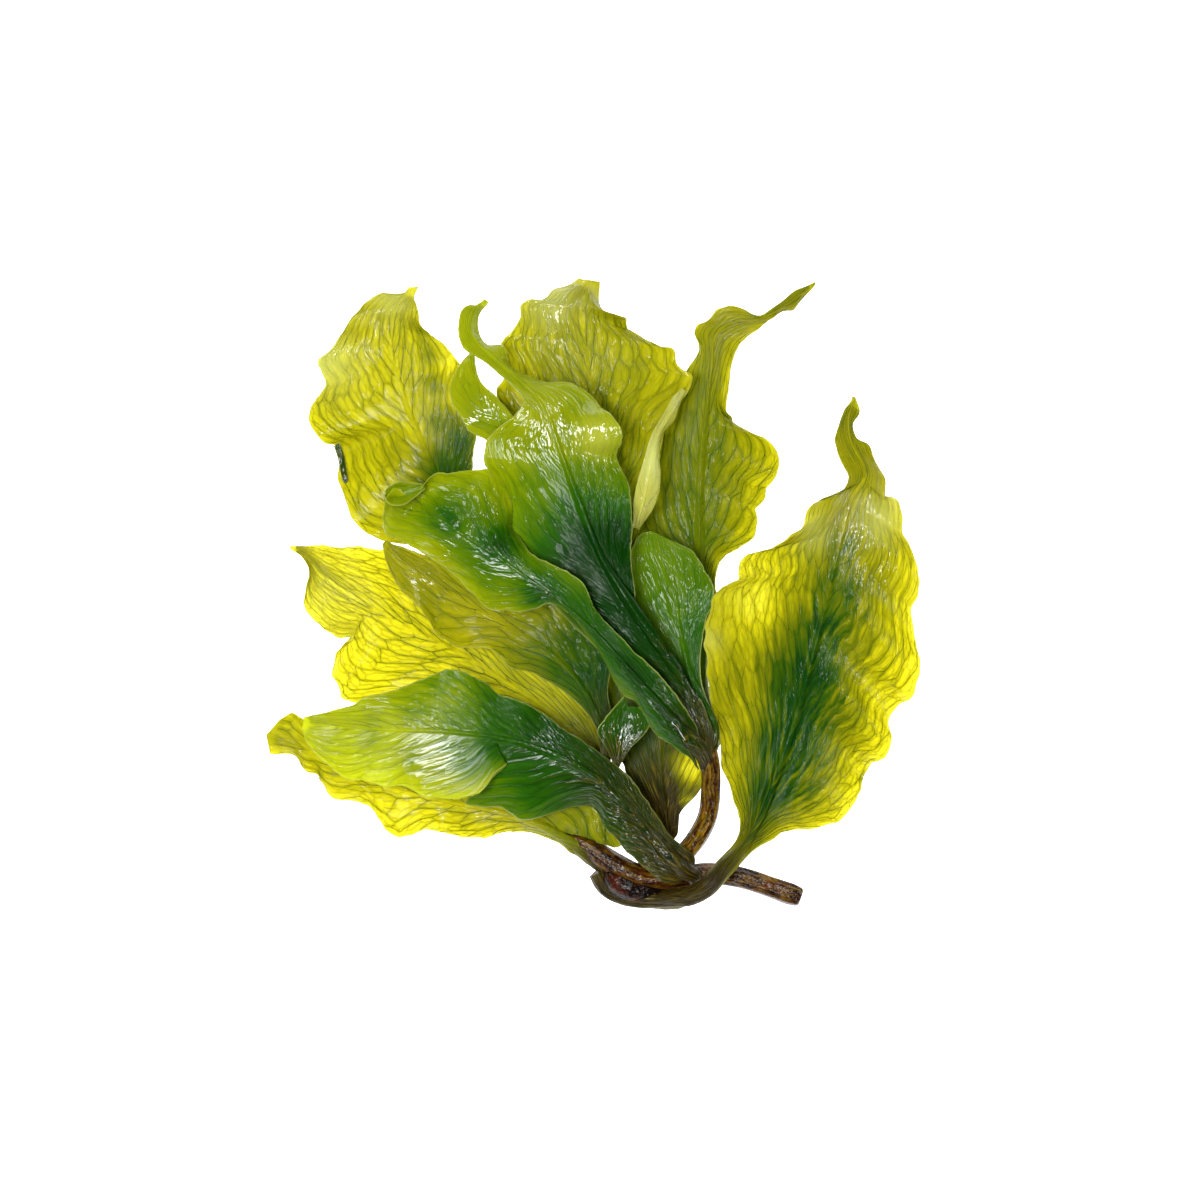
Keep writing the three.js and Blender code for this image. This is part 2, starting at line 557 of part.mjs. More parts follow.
// Finishes: wet translucent blades and brown stalks
const finish = (color, roughness) => new THREE.MeshStandardMaterial({ color, roughness, metalness: 0 });
const brownStem = finish('#4a3018', 0.35);
const yellowBlade = finish('#a9a416', 0.3);
const oliveBlade = finish('#5f7a14', 0.28);
const darkBlade = finish('#23500d', 0.25);

const group = new THREE.Group();
group.name = 'kelp_frond';
function add(name, geometry, material) {
  const mesh = new THREE.Mesh(geometry, material);
  mesh.name = name;
  group.add(mesh);
}

add('stipe', bladeGeometry(stipe), brownStem);
add('stalk_center', bladeGeometry(stalkCenter), brownStem);
add('stalk_left', bladeGeometry(stalkLeft), brownStem);
add('blade_right', bladeGeometry(bladeRight), yellowBlade);
add('blade_upper_right', bladeGeometry(bladeUpperRight), yellowBlade);
add('blade_top', bladeGeometry(bladeTop), yellowBlade);
add('blade_center', joined(bladeGeometry(bladeCenter), bladeGeometry(centerLobe)), darkBlade);
add('blade_center_left', bladeGeometry(bladeCenterLeft), darkBlade);
add('blade_upper_left', bladeGeometry(bladeUpperLeft), yellowBlade);
add('blade_left_back', bladeGeometry(bladeLeftBack), yellowBlade);
add('blade_left_inner', bladeGeometry(bladeLeftInner), oliveBlade);
add('blade_lower_left_front', bladeGeometry(bladeLowerLeftFront), darkBlade);
add('blade_lower_left_back', bladeGeometry(bladeLowerLeftBack), yellowBlade);
add('small_blade_right', bladeGeometry(smallBladeRight), darkBlade);
add('small_blade_left', bladeGeometry(smallBladeLeft), darkBlade);
add('blade_back', bladeGeometry(bladeBack), yellowBlade);

export default group;
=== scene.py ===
import math

import bpy
import numpy as np
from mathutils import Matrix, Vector
from mathutils.geometry import delaunay_2d_cdt
from mathutils.kdtree import KDTree


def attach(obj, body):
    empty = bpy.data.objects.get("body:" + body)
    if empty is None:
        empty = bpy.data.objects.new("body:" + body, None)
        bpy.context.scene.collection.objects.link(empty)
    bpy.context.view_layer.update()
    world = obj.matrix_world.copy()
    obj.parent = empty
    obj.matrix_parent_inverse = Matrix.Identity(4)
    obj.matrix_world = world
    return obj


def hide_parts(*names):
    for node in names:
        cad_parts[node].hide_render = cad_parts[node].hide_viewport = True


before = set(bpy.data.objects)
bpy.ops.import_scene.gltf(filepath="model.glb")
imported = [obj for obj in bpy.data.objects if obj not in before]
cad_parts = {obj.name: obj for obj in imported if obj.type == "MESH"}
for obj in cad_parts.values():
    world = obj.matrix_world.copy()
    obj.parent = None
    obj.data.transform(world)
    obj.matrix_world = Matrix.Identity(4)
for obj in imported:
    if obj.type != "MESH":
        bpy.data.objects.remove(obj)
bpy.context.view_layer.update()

MM = 0.001

# Radii of the stalks, in millimetres
STIPE_RADIUS = 3
CENTER_STALK_RADIUS = 2.9
LEFT_STALK_RADIUS = 2.6
RIGHT_BLADE_STALK_RADIUS = 2.9
CENTER_BLADE_STALK_RADIUS = 2.4
CENTER_LEFT_BLADE_STALK_RADIUS = 2.6
UPPER_RIGHT_STALK_RADIUS = 2.1
THIN_STALK_RADIUS = 1.5
LEAFLET_STALK_RADIUS = 1.2
LOBE_RIB_RADIUS = 0.5

# Outlines are read from the square picture. A point is [across, down, height]: across and down
# in picture points, height above the surface in millimetres, as in the solids.
FROND_WIDTH = 197
FROND_WIDTH_IN_PICTURE = 656
PICTURE_CENTER = 600
FROND_CENTER_ACROSS = 593
FROND_CENTER_DOWN = 594.5
POINT = FROND_WIDTH / FROND_WIDTH_IN_PICTURE
VIEW_HEIGHT = 2500

# How the solids are shaped between the outlines, and how thick the fine blades are
SAG_POWER = 1.6
RIB_FADE = 2.5
LEAST_RIB = 0.12
SETTLED_LOW = 2.5
SETTLED_TOP = 7
LOWEST_MIDDLE = 0.42
MIDDLE_HALF = 0.15
MARGIN_HALF = 0.08
MEASURING_STEPS = 3000

# Waves and nicks of a margin, folds across it, and the swellings between the veins, in millimetres
EDGE_WAVE = 0.45
EDGE_WAVE_LENGTH = 4.5
EDGE_NICK = 0.18
EDGE_NICK_LENGTH = 1.3
JAGGED_WIDTH = 8  # where a blade is narrower, its margin is smoother
NICK_POWER = 6  # how fast the nicks die out from the margin inwards
RUFFLE_LENGTH = 7
RUFFLE_DEPTH = 0.7  # how much the folds differ between midrib and margin
RUFFLE_POWER = 3
FINE_RUFFLE = 0.5
FINE_RUFFLE_POWER = 5
RUFFLED_WIDTH = 10  # where a blade is narrower, it ruffles less
PAD_HEIGHT = 0.14
PAD_REACH = 1.4
PAD_FROM_MARGIN = 3
PAD_FROM_RIB = 2
VEIN_HALO = 0.09
VEIN_HALO_REACH = 1
RIDGE = 0.42
RIDGE_WIDTH = 0.8
RIDGE_LENGTH = 14
SLOW_WAVE = 14
SLOW_HEIGHT = 0.5
PLEAT = 0.55
PLEAT_WIDTH = 1.7
PLEAT_LENGTH = 18
PLEAT_END = 0.45  # pleats run this share of the way up a blade

# How the tissue is laid out on a blade
USUAL_LINES = 90
ROWS_PER_LINE = 2.2
ROWS_TO_FULL_BLADE = 1.5  # rows of the outline over which the stalk turns to blade
BROAD = 80  # the pattern is laid out for this percentile of a blade's widths
UNLIKE_SIDES = 0.9  # and it is unlike on the two sides
FAR_SIDE = 200  # keeps the noise of the two margins apart
SHADE_POWER = 1.2
BROWN_SHADE = 0.5  # tissue lighter than this has less of the brown
NO_BROWN = [[0, 0], [1, 0]]
TISSUE_VALUES = ("flow", "along", "shade", "margin", "brown", "pale", "wet")

# How much darker each stem is, where less than 0 is lighter
STEM_DARKNESS = {"knob": 0.75, "stipe": 0.1, "stalk_left": 0.1, "stalk_center": -0.1}
# A stem is a list of points with a radius each, from the cut end or the fork to its tip
STEMS = {
    "stipe": [
        [801, 898, 3.6, STIPE_RADIUS * 0.95],
        [790, 894, 3.6, STIPE_RADIUS * 1.12],
        [770, 887, 3.6, STIPE_RADIUS * 1.05],
        [740, 878, 3.6, STIPE_RADIUS * 1.05],
        [705, 874, 3.8, STIPE_RADIUS * 1.05],
        [670, 879, 4.2, STIPE_RADIUS],
        [640, 877, 4.2, STIPE_RADIUS * 1.15],
        [617, 866, 4.2, STIPE_RADIUS * 1.15],
        [600, 855, 4.2, STIPE_RADIUS * 1.05],
        [584, 845, 4, STIPE_RADIUS * 0.8],
        [568, 837, 3.2, STIPE_RADIUS * 0.5],
        [552, 831, 2.4, STIPE_RADIUS * 0.3],
    ],
    "knob": [
        [668, 892, 3.6, 1.8],
        [648, 892, 3.9, 3.1],
        [630, 889, 4.2, 3.9],
        [616, 881, 4.2, 3.6],
        [607, 872, 3.8, 2.4],
    ],
    "stalk_center": [
        [672, 871, 4.4, CENTER_STALK_RADIUS * 0.9],
        [685, 853, 6.6, CENTER_STALK_RADIUS],
        [696, 839, 8.5, CENTER_STALK_RADIUS],
        [708, 815, 11.5, CENTER_STALK_RADIUS],
        [711, 785, 14.5, CENTER_STALK_RADIUS],
        [710, 764, 17, CENTER_STALK_RADIUS],
        [707, 750, 18.3, CENTER_STALK_RADIUS],
    ],
    "stalk_left": [
        [658, 875, 4.4, LEFT_STALK_RADIUS * 0.9],
        [646, 858, 4.5, LEFT_STALK_RADIUS],
        [628, 828, 4.5, LEFT_STALK_RADIUS],
        [612, 790, 5, LEFT_STALK_RADIUS],
        [604, 770, 5.5, LEFT_STALK_RADIUS],
    ],
}

# Each blade's outline and tissue. radius: of its stalk. lying: pressed down to the surface. lines: how many
# lines of points run lengthwise. root: where its stalk starts inside the stem that carries it. A row is
# its middle | its left margin | its right margin, from base to tip, where each margin lists its points up to
# the next row, as seen looking from base to tip. tip is the middle, left and right point of the end.
# fan: how far the veins run outwards, in millimetres for each millimetre along. ruffle: height of the folds.
# shades: [how far along, shade at the middle, at the left margin, at the right margin], where 0 is pale and 1
# is dark. brown: [how far along, how much of the brown]. veins: how dark the veins are. pale: how much of
# the tissue turns a pale whitish lime that lets less light through, in some patches a painted sheen where the
# lamps glint. wet: how thick the slime lies. Patches are [across, down, radius, value there].
# node: the solid that a form without one of its own belongs to.
BLADES = {
    "blade_right": {
        "slot": "blade_right", "radius": RIGHT_BLADE_STALK_RADIUS, "lying": True, "lines": 110,
        "root": "598 872 4.2",
        "stalk": "606 886 3.6, 626 896 4, 655 899 5, 685 897 7.5, 706 888 10.8, 725 867 11",
        "rows": """
        745 843 9.5 | 735 841 10, 740 820 11 | 752 852 10, 765 843 10, 785 833 9
        772 785 9 | 732 795 11, 722 767 11 | 812 829 10, 834 823 7, 852 808 8
        795 720 9 | 719 740 14, 711 705 16.2 | 861 790 11, 864 774 12, 874 763 8, 886 757 5
        813 655 8 | 706 671 21.5, 706 635 23 | 891 742 5, 889 722 9, 897 707 10, 910 698 6
        828 595 7 | 711 604 22, 721 588 20, 737 581 16 | 919 678 4, 921 655 6, 914 633 10
        840 545 7 | 738 565 12, 750 553 10, 771 548 12, 787 539 14 | 912 612 10, 919 592 6, 920 570 4, 911 548 6
        852 500 10 | 802 526 12, 806 513 9, 818 501 8, 838 495 11 | 902 532 9, 901 512 7, 894 501 6, 885 499 9
        865 472 13 | 848 480 13, 843 466 15 | 886 480 10, 880 468 10, 872 455 12
        852 444 15 | 838 455 17, 834 441 17 | 868 444 14, 857 438 15
        848 420 14 | 839 424 15, 845 408 13 | 852 426 14, 859 414 12""",
        "tip": "854 398 10, 853 399 10, 855.5 399 10",
        "fan": 0.27, "ruffle": 1.1, "wet": 0.1,
        "shades": [
            [0, 0.9, 0.7, 0.7], [0.12, 0.85, 0.45, 0.3], [0.3, 0.85, 0.15, 0.08], [0.55, 0.85, 0.1, 0.02],
            [0.72, 0.45, 0.05, 0.02], [0.86, 0.3, 0.15, 0.12], [1, 0.35, 0.3, 0.3],
        ],
        "patches": [
            [728, 690, 30, 0.35], [860, 590, 34, 0.45], [752, 600, 30, 0], [772, 790, 16, 0.95],
            [786, 745, 17, 0.95], [800, 705, 19, 1], [812, 668, 20, 1.05], [824, 628, 19, 0.9],
            [836, 585, 19, 0.75], [846, 545, 16, 0.6], [868, 780, 8, 0.8],
        ],
        "wet_patches": [[700, 893, 50, 0.15], [855, 520, 30, 1.1], [880, 560, 25, 0.6]],
        # The two pale patches near the top paint a whitish sheen where the lamps glint
        "pale_patches": [[708, 640, 12, 0.35], [880, 520, 22, 0.5], [812, 530, 18, 0.35]],
        "brown": [[0, 1.5], [0.17, 1.3], [0.25, 0.75], [0.33, 0.2], [0.42, 0]],
    },
    "blade_upper_right": {
        "slot": "blade_yellow", "radius": UPPER_RIGHT_STALK_RADIUS, "lying": True,
        "root": "709 757 16.2",
        "stalk": "712 736 12.2, 702 690 10.3, 701 640 8.5",
        "rows": """
        700 590 6 | 692 598 5, 668 572 5 | 717 598 6, 716 580 7, 721 560 6
        700 535 4.5 | 636 545 4, 628 515 5 | 737 549 3, 751 540 4, 756 524 8
        700 485 4.5 | 636 480 6, 647 450 5 | 755 509 9, 763 503 7, 766 489 4, 776 477 3
        703 440 5 | 658 420 4, 670 398 4 | 780 461 4, 773 446 7, 760 436 8, 748 431 5
        708 400 6 | 683 378 4, 691 363 4 | 733 420 4, 728 408 8, 728 392 9
        712 365 7 | 698 350 5, 697 343 6 | 730 374 8, 732 360 7
        716 335 8 | 693 333 8, 698 324 9, 708 319 8 | 739 345 6, 748 337 6
        735 322 10 | 716 309 6, 727 306 7, 742 308 10 | 757 330 8
        757 320 11 | 754 315 11, 762 315 12 | 765 323 10
        771 314 12 | 771 309 12, 783 300 11 | 773 318 12, 783 312 10
        795 299 10 | 796 290 10, 806 286 9 | 794 310 9, 801 300 8""",
        "tip": "815 283 8, 814 282 8, 816 284 8",
        "fan": 0.28, "ruffle": 0.8, "wet": 0.1,
        "shades": [
            [0, 0.95, 0.9, 0.9], [0.2, 0.85, 0.6, 0.6], [0.4, 0.68, 0.45, 0.3], [0.65, 0.55, 0.38, 0.22],
            [0.85, 0.35, 0.25, 0.15], [1, 0.4, 0.35, 0.35],
        ],
        "wet_patches": [[725, 330, 20, 0.5]],
        "brown": [[0, 0.6], [0.2, 0.2], [0.35, 0]],
    },
    "blade_top": {
        "slot": "blade_yellow", "radius": THIN_STALK_RADIUS, "lying": True,
        "root": "706 753 17.5, 702 733 16.8",
        "stalk": "696 714 15.5, 678 660 12, 652 600 11.5, 630 555 11",
        "rows": """
        617 515 11 | 605 525 11, 570 505 10, 540 480 9 | 636 544 11, 640 518 15, 641 496 18
        606 465 9 | 520 455 8, 508 430 8 | 647 484 18, 657 468 18, 662 448 18
        598 420 8 | 500 405 8, 497 390 8, 503 378 7 | 662 432 17, 668 414 17, 680 400 16
        590 380 7 | 505 360 6, 503 342 5 | 689 389 14.5, 692 376 12.5, 681 369 11
        585 345 7 | 512 332 5, 520 318 7 | 676 359 9, 668 350 7, 655 344 7
        582 318 8 | 521 305 9, 530 299 10, 543 298 8 | 641 338 6, 630 330 5, 626 318 10
        584 298 9 | 555 288 6, 568 284 6 | 620 320 7, 608 315 5, 600 304 5""",
        "tip": "590 280 8, 578 279 8, 600 282 8",
        "fan": 0.3, "ruffle": 1.1, "wet": 0.2,
        "shades": [
            [0, 0.9, 0.8, 0.8], [0.3, 0.8, 0.6, 0.6], [0.6, 0.55, 0.42, 0.35], [0.8, 0.45, 0.3, 0.25],
            [1, 0.3, 0.25, 0.35],
        ],
        "wet_patches": [[560, 305, 34, 1], [600, 360, 40, 0.1]],
        # The pale patch at the top-left paints a whitish sheen where the lamps glint
        "pale_patches": [[548, 300, 26, 0.45]],
        "brown": [[0, 0.6], [0.2, 0.2], [0.35, 0]],
    },
    "blade_center": {
        "slot": "blade_dark", "radius": CENTER_BLADE_STALK_RADIUS,
        "root": "707 758 17.6, 706 742 20.4",
        "stalk": "703 726 22.5, 692 702 24",
        "rows": """
        680 675 25.5 | 678 697 25, 655 680 25 | 698 700 24, 687 683 23
        648 630 27 | 628 655 26, 600 625 25.5 | 668 655 22, 650 633 22
        615 580 27.5 | 560 600 25, 535 572 24 | 638 610 24, 634 582 26
        590 530 27 | 514 550 21, 500 525 19 | 631 550 25, 633 522 27
        573 485 26 | 494 500 18.5, 491 476 22, 485 461 24 | 631 498 27, 628 482 25
        560 450 25 | 487 440 24, 503 425 24, 517 412 24 | 617 460 23, 621 442 28, 620 428 29
        552 425 25 | 524 402 23.5 | 611 417 27, 600 407 22, 594 399 19
        545 407 24 | 522 398 23 | 580 388 18, 562 383 18
        528 389 21 | 520 394 22, 508 383 20 | 542 381 18, 520 373 16
        500 364 17 | 493 370 18, 480 360 16 | 507 361 14, 503 348 13
        478 344 14 | 464 348 14, 459 336 13 | 488 346 12, 481 338 11
        469 324 12 | 459 321 12, 462 309 11 | 478 326 10, 479 316 9
        474 309 10 | 469 305 10, 477 306 9 | 482 310 8""",
        "tip": "486 301 8, 484 299 8, 489 302 8",
        "fan": 0.25, "ruffle": 0.7, "wet": 0.2, "veins": 0.35,
        "shades": [
            [0, 1.05, 1, 1], [0.3, 1.02, 0.9, 0.95], [0.5, 0.8, 0.45, 0.78], [0.65, 0.38, 0.25, 0.4],
            [0.8, 0.25, 0.2, 0.25], [1, 0.2, 0.15, 0.15],
        ],
        "patches": [[600, 560, 45, 1.1], [625, 610, 25, 1.1], [598, 438, 22, 0.1], [540, 410, 25, 0.2]],
        "wet_patches": [
            [695, 715, 30, 0.9], [600, 540, 55, 0.04], [545, 418, 36, 1.2], [595, 440, 25, 1.2],
            [535, 350, 24, 1],
        ],
        # The pale patch paints a whitish sheen on the lime patch, where the lamps glint
        "pale_patches": [[598, 438, 18, 0.25]],
        "brown": [[0, 1], [0.08, 0.6], [0.2, 0.1], [0.3, 0]],
    },
    "center_lobe": {
        "node": "blade_center", "slot": "blade_dark", "radius": LOBE_RIB_RADIUS, "lines": 60,
        "rows": """
        530 450 25 | 518 462 24.5 | 540 437 24.5
        500 425 22 | 484 439 22, 467 428 20 | 522 425 23, 508 410 21
        478 398 19 | 455 408 18.5, 449 393 16, 459 367 13 | 494 395 19, 481 380 17""",
        "tip": "472 352 11, 470 353 11, 474 353 11",
        "fan": 0.25, "ruffle": 0.4, "wet": 1, "veins": 0.35,
        "shades": [[0, 0.5, 0.35, 0.35], [1, 0.2, 0.15, 0.15]],
        "wet_patches": [[460, 395, 20, 1.2]],
    },
    "top_curl": {
        "node": "blade_top", "slot": "blade_yellow", "radius": LOBE_RIB_RADIUS, "lines": 30,
        "rows": """
        636 528 19 | 633 528 20 | 639 530 17
        646 490 22 | 635 492 23.5, 641 470 24 | 657 500 18, 660 480 18
        655 448 22 | 648 448 24, 655 430 24 | 661 445 17.2, 663 435 16.2
        669 415 20 | 664 414 22, 674 396 20 | 674 420 15.2, 679 405 14.2""",
        "tip": "684 390 15, 682 388 16, 686 391 14",
        # The curl is made lighter, most at its left edge and its pale middle: painted light for an edge that
        # catches the lamps
        "fan": 0.15, "ruffle": 0.4, "wet": 0.6, "pale": 0.45,
        "shades": [[0, 0.3, 0.1, 0.3], [0.4, 0.15, -0.2, 0.1], [1, 0.2, 0.1, 0.2]],
        "pale_patches": [[652, 460, 22, 0.9]],
    },
    "blade_center_left": {
        "slot": "blade_dark", "radius": CENTER_LEFT_BLADE_STALK_RADIUS,
        "root": "707 762 17.2, 702 751 21.2",
        "stalk": "692 741 24.5",
        "rows": """
        688 736 25 | 700 771 20, 688 755 21 | 697 727 27, 686 708 29
        655 700 29 | 668 743 22, 652 729 23 | 664 680 31, 642 658 31
        622 662 30.5 | 640 706 24, 624 692 23 | 618 634 31, 600 614 31
        590 628 31 | 611 671 24, 600 650 24 | 591 601 33, 583 583 34
        560 602 31 | 588 636 25, 579 621 25, 566 612 26 | 565 571 34, 547 562 33
        530 580 30 | 551 603 27, 530 609 25, 508 611 24 | 533 556 28.3, 524 543 24.3
        497 557 29 | 488 608 24, 470 593 24 | 515 527 22, 513 503 21.5
        462 534 28 | 452 574 23, 436 560 23 | 505 481 20, 493 470 20
        430 515 26 | 420 550 20, 402 542 19 | 470 471 23, 450 473 25
        412 505 22 | 387 535 17, 383 522 17 | 437 473 27, 424 485 28, 413 498 27""",
        "tip": "388 495 29, 386 503 28, 395 485 28",
        "fan": 0.28, "ruffle": 0.6, "wet": 0.2, "veins": 0.35,
        "shades": [
            [0, 1.05, 1, 1], [0.3, 0.98, 0.55, 0.75], [0.55, 0.7, 0.35, 0.5], [0.75, 0.55, 0.25, 0.3],
            [1, 0.3, 0.25, 0.25],
        ],
        # The first three patches are partly the tissue's darker middle and partly painted shade beside a fold
        "patches": [[452, 520, 24, 0.75], [497, 545, 24, 0.85], [540, 592, 20, 0.85], [420, 555, 16, 0.15]],
        "wet_patches": [[660, 700, 30, 0.6], [440, 558, 26, 1.1], [515, 585, 34, 0.8], [490, 515, 18, 0.5]],
        "brown": [[0, 1], [0.08, 0.6], [0.18, 0.1], [0.3, 0]],
    },
    "tip_roll": {
        "node": "blade_center_left", "slot": "blade_dark", "radius": LOBE_RIB_RADIUS, "lines": 30,
        "rows": """
        424 486 27.6 | 425 489 27.8 | 422 484 27.8
        406 492 27 | 413 499 29, 405 504 30 | 408 482 29, 399 482 30
        394 495 27 | 394 505 30, 388 502 30 | 392 485 29.5, 387 489 29.5""",
        "tip": "385 496 29, 385.5 498 29, 385.5 494 29",
        "fan": 0.1, "ruffle": 0, "wet": 0.4, "veins": 0.35,
        "shades": [[0, 0.5, 0.45, 0.45], [1, 0.45, 0.3, 0.3]],
    },
    "blade_upper_left": {
        "slot": "blade_yellow", "radius": THIN_STALK_RADIUS, "lying": True,
        "root": "706 757 17.5, 701 746 16",
        "stalk": "694 736 15, 650 690 16, 590 635 17.5, 530 575 18, 485 530 14",
        "rows": """
        447 492 9 | 440 520 7, 415 543 6, 384 541 6 | 463 492 10, 470 474 9
        428 455 6 | 358 527 5, 347 508 5, 343 490 7, 339 478 10, 338 451 12 | 474 455 8, 476 435 9
        412 418 5 | 334 444 8, 321 440 4, 311 426 4 | 474 415 8, 468 395 8
        400 385 5 | 310 408 6, 316 397 8, 326 384 9 | 463 378 7, 461 366 5
        392 355 6 | 320 371 6, 318 360 4, 332 350 5 | 450 353 4, 440 342 4
        392 328 7 | 343 331 8, 355 314 9 | 430 333 5, 422 326 8
        396 310 9 | 367 302 8, 380 293 6 | 418 317 11, 416 304 11
        408 294 9 | 393 294 8, 403 294 9 | 414 298 10""",
        "tip": "414 287 9, 409 287 9, 419 286 9",
        "fan": 0.4, "ruffle": 1.1, "wet": 0.15,
        "shades": [
            [0, 0.95, 0.9, 0.9], [0.35, 0.85, 0.7, 0.7], [0.55, 0.6, 0.3, 0.5], [0.75, 0.3, 0.25, 0.3],
            [1, 0.2, 0.2, 0.2],
        ],
        # The first four patches and the light fifth paint the shading of a fold the surface does not have: a
        # darker wedge of painted shade and a lighter strip beside it
        "patches": [
            [424, 330, 8, 0.4], [428, 355, 9, 0.45], [433, 385, 10, 0.5], [440, 420, 14, 0.55],
            [450, 362, 11, 0.05], [462, 440, 18, 0.75], [448, 474, 26, 0.85],
        ],
        "wet_patches": [[350, 330, 30, 0.7]],
        "pale_patches": [[326, 362, 30, 0.5], [392, 296, 22, 0.4]],
        "brown": [[0, 0.6], [0.2, 0.2], [0.35, 0]],
    },
    "torn_curl": {
        "node": "blade_upper_left", "slot": "blade_dark", "radius": LOBE_RIB_RADIUS, "lines": 20,
        "rows": """
        337 444 11.4 | 334 446 11.4 | 340 443 11.4
        341 458 12.4 | 338 460 12.4, 340 469 11.4 | 345 456 11.4, 346 467 11.4""",
        "tip": "346 483 10.4, 343 481 10.4, 348 480 10.4",
        "fan": 0.1, "ruffle": 0.3, "wet": 1, "veins": 0.35,
        "shades": [[0, 0.85, 0.6, 0.6], [1, 0.85, 0.5, 0.5]],
        "brown": [[0, 0.5], [1, 0.6]],
    },
    "blade_left_back": {
        "slot": "blade_yellow", "radius": THIN_STALK_RADIUS, "lying": True,
        "root": "604 768 5.5",
        "stalk": "597 756 5.5",
        "rows": """
        590 748 5.5 | 592 762 5, 568 750 4 | 602 742 6, 592 716 5
        550 712 4.5 | 535 728 4, 500 720 4 | 568 688 5, 532 658 5
        500 678 4 | 460 716 3, 425 712 4 | 505 632 4, 480 605 4
        455 650 4 | 395 707 4, 362 703 3 | 455 580 5, 435 562 6
        415 632 5 | 341 698 5, 338 687 7, 331 674 5 | 412 553 5, 392 550 3
        385 615 6 | 334 657 3, 342 646 5, 353 638 8 | 375 548 4, 352 547 6
        355 598 5 | 340 637 7, 324 631 4, 311 617 3 | 335 547 6, 318 546 4
        325 575 4 | 304 604 4, 305 588 6, 309 573 7 | 310 546 4, 305 545.5 4
        303 553 5 | 302 556.5 6 | 302 546 5""",
        "tip": "290 547.5 5, 290 549 5, 289 546 5",
        "fan": 0.2, "ruffle": 0.6, "wet": 0.1, "veins": 0.75,
        "shades": [
            [0, 0.7, 0.5, 0.5], [0.25, 0.3, 0.15, 0.15], [0.5, 0.22, 0.09, 0.09], [1, 0.06, 0.04, 0.04],
        ],
        "pale_patches": [[320, 600, 40, 0.15]],
        "brown": [[0, 0.7], [0.12, 0.4], [0.25, 0]],
    },
    "blade_left_inner": {
        "slot": "blade_olive", "radius": THIN_STALK_RADIUS,
        "root": "604 777 5.5, 605 767 8",
        "stalk": "606 757 10.5",
        "rows": """
        601 728 10 | 594 724 10, 582 708 10 | 611 712 10, 608 690 11
        580 685 12 | 565 693 10, 545 680 9 | 612 658 13, 600 634 14
        550 652 13 | 527 672 9, 510 667 9 | 580 612 14, 550 592 14
        515 630 13 | 500 655 10, 488 650 12 | 515 598 14, 488 590 14
        480 610 13 | 472 648 12, 457 648 10 | 465 577 14, 448 566 14
        448 592 13 | 445 642 9, 437 632 11 | 434 557 15, 422 552 15
        420 574 13 | 422 609 14, 405 593 12 | 410 549 15, 401 546 15
        398 556 13 | 393 576 10, 387 560 11 | 393 543 14""",
        "tip": "384 542 13, 382 544 13, 387 540 13",
        "fan": 0.22, "ruffle": 0.6, "wet": 0.12,
        "shades": [[0, 1, 0.95, 0.95], [0.3, 0.9, 0.65, 0.9], [0.6, 0.35, 0.35, 0.25], [1, 0.35, 0.35, 0.35]],
        "wet_patches": [[425, 580, 15, 0.8]],
        "brown": [[0, 1], [0.12, 0.7], [0.3, 0]],
    },
    "blade_lower_left_front": {
        "slot": "blade_dark", "radius": LEFT_STALK_RADIUS,
        "root": "695 877 4.6, 690 873 8.6",
        "rows": """
        682 868 11 | 672 884 10.5 | 694 857 10.5
        655 840 13 | 645 868 12 | 668 832 12.5
        628 808 15 | 622 846 13, 605 828 12 | 648 801 14, 630 779 14
        595 778 17 | 592 809 11, 562 810 10 | 608 757 14, 587 744 14
        555 755 18 | 538 817 10, 520 820 9, 498 808 9.5 | 562 727 15, 542 713 15
        518 742 18.5 | 465 804 9.5, 478 792 13, 506 764 18 | 520 702 16, 498 694 16
        480 735 19 | 497 772 19, 474 796 18.5, 450 798 18 | 480 680 17, 462 671 18
        440 731 18.5 | 425 797 17, 405 787 16 | 440 672 18, 420 680 16
        400 730 17.5 | 385 787 15, 365 780 15 | 398 690 15, 372 695 14.5
        360 728 16 | 345 778 14, 330 765 14 | 348 706 14, 330 712 14
        328 726 16 | 315 752 14, 306 741 14 | 315 715 14.5""",
        "tip": "303 722 16, 302 728 16, 304 717 16",
        "fan": 0.5, "ruffle": 0.5, "wet": 0.15, "veins": 0.7,
        "shades": [
            [0, 1, 0.85, 0.9], [0.3, 1, 0.8, 0.95], [0.5, 0.9, 0.55, 0.8], [0.62, 0.6, 0.1, 0.65],
            [0.8, 0.15, -0.05, 0.3], [1, 0, -0.05, 0],
        ],
        "patches": [
            [330, 740, 30, 0.08], [470, 757, 24, 0.62], [500, 745, 20, 0.8], [455, 692, 22, 0.42],
            [420, 712, 18, 0.4], [415, 755, 18, 0.32], [372, 735, 20, 0.3], [350, 700, 16, 0.2],
        ],
        "wet_patches": [
            [432, 756, 24, 1.2], [378, 698, 11, 0.9], [325, 735, 10, 0.7], [560, 740, 30, 0.6],
            [610, 800, 40, 0.55], [655, 850, 26, 0.6],
        ],
        "brown": [[0, 1.1], [0.12, 0.75], [0.3, 0.4], [0.45, 0]],
    },
    "blade_lower_left_back": {
        "slot": "blade_olive", "radius": LEFT_STALK_RADIUS, "lying": True,
        "root": "612 869 4.2",
        "stalk": "593 858 4.3, 582 849 4.6",
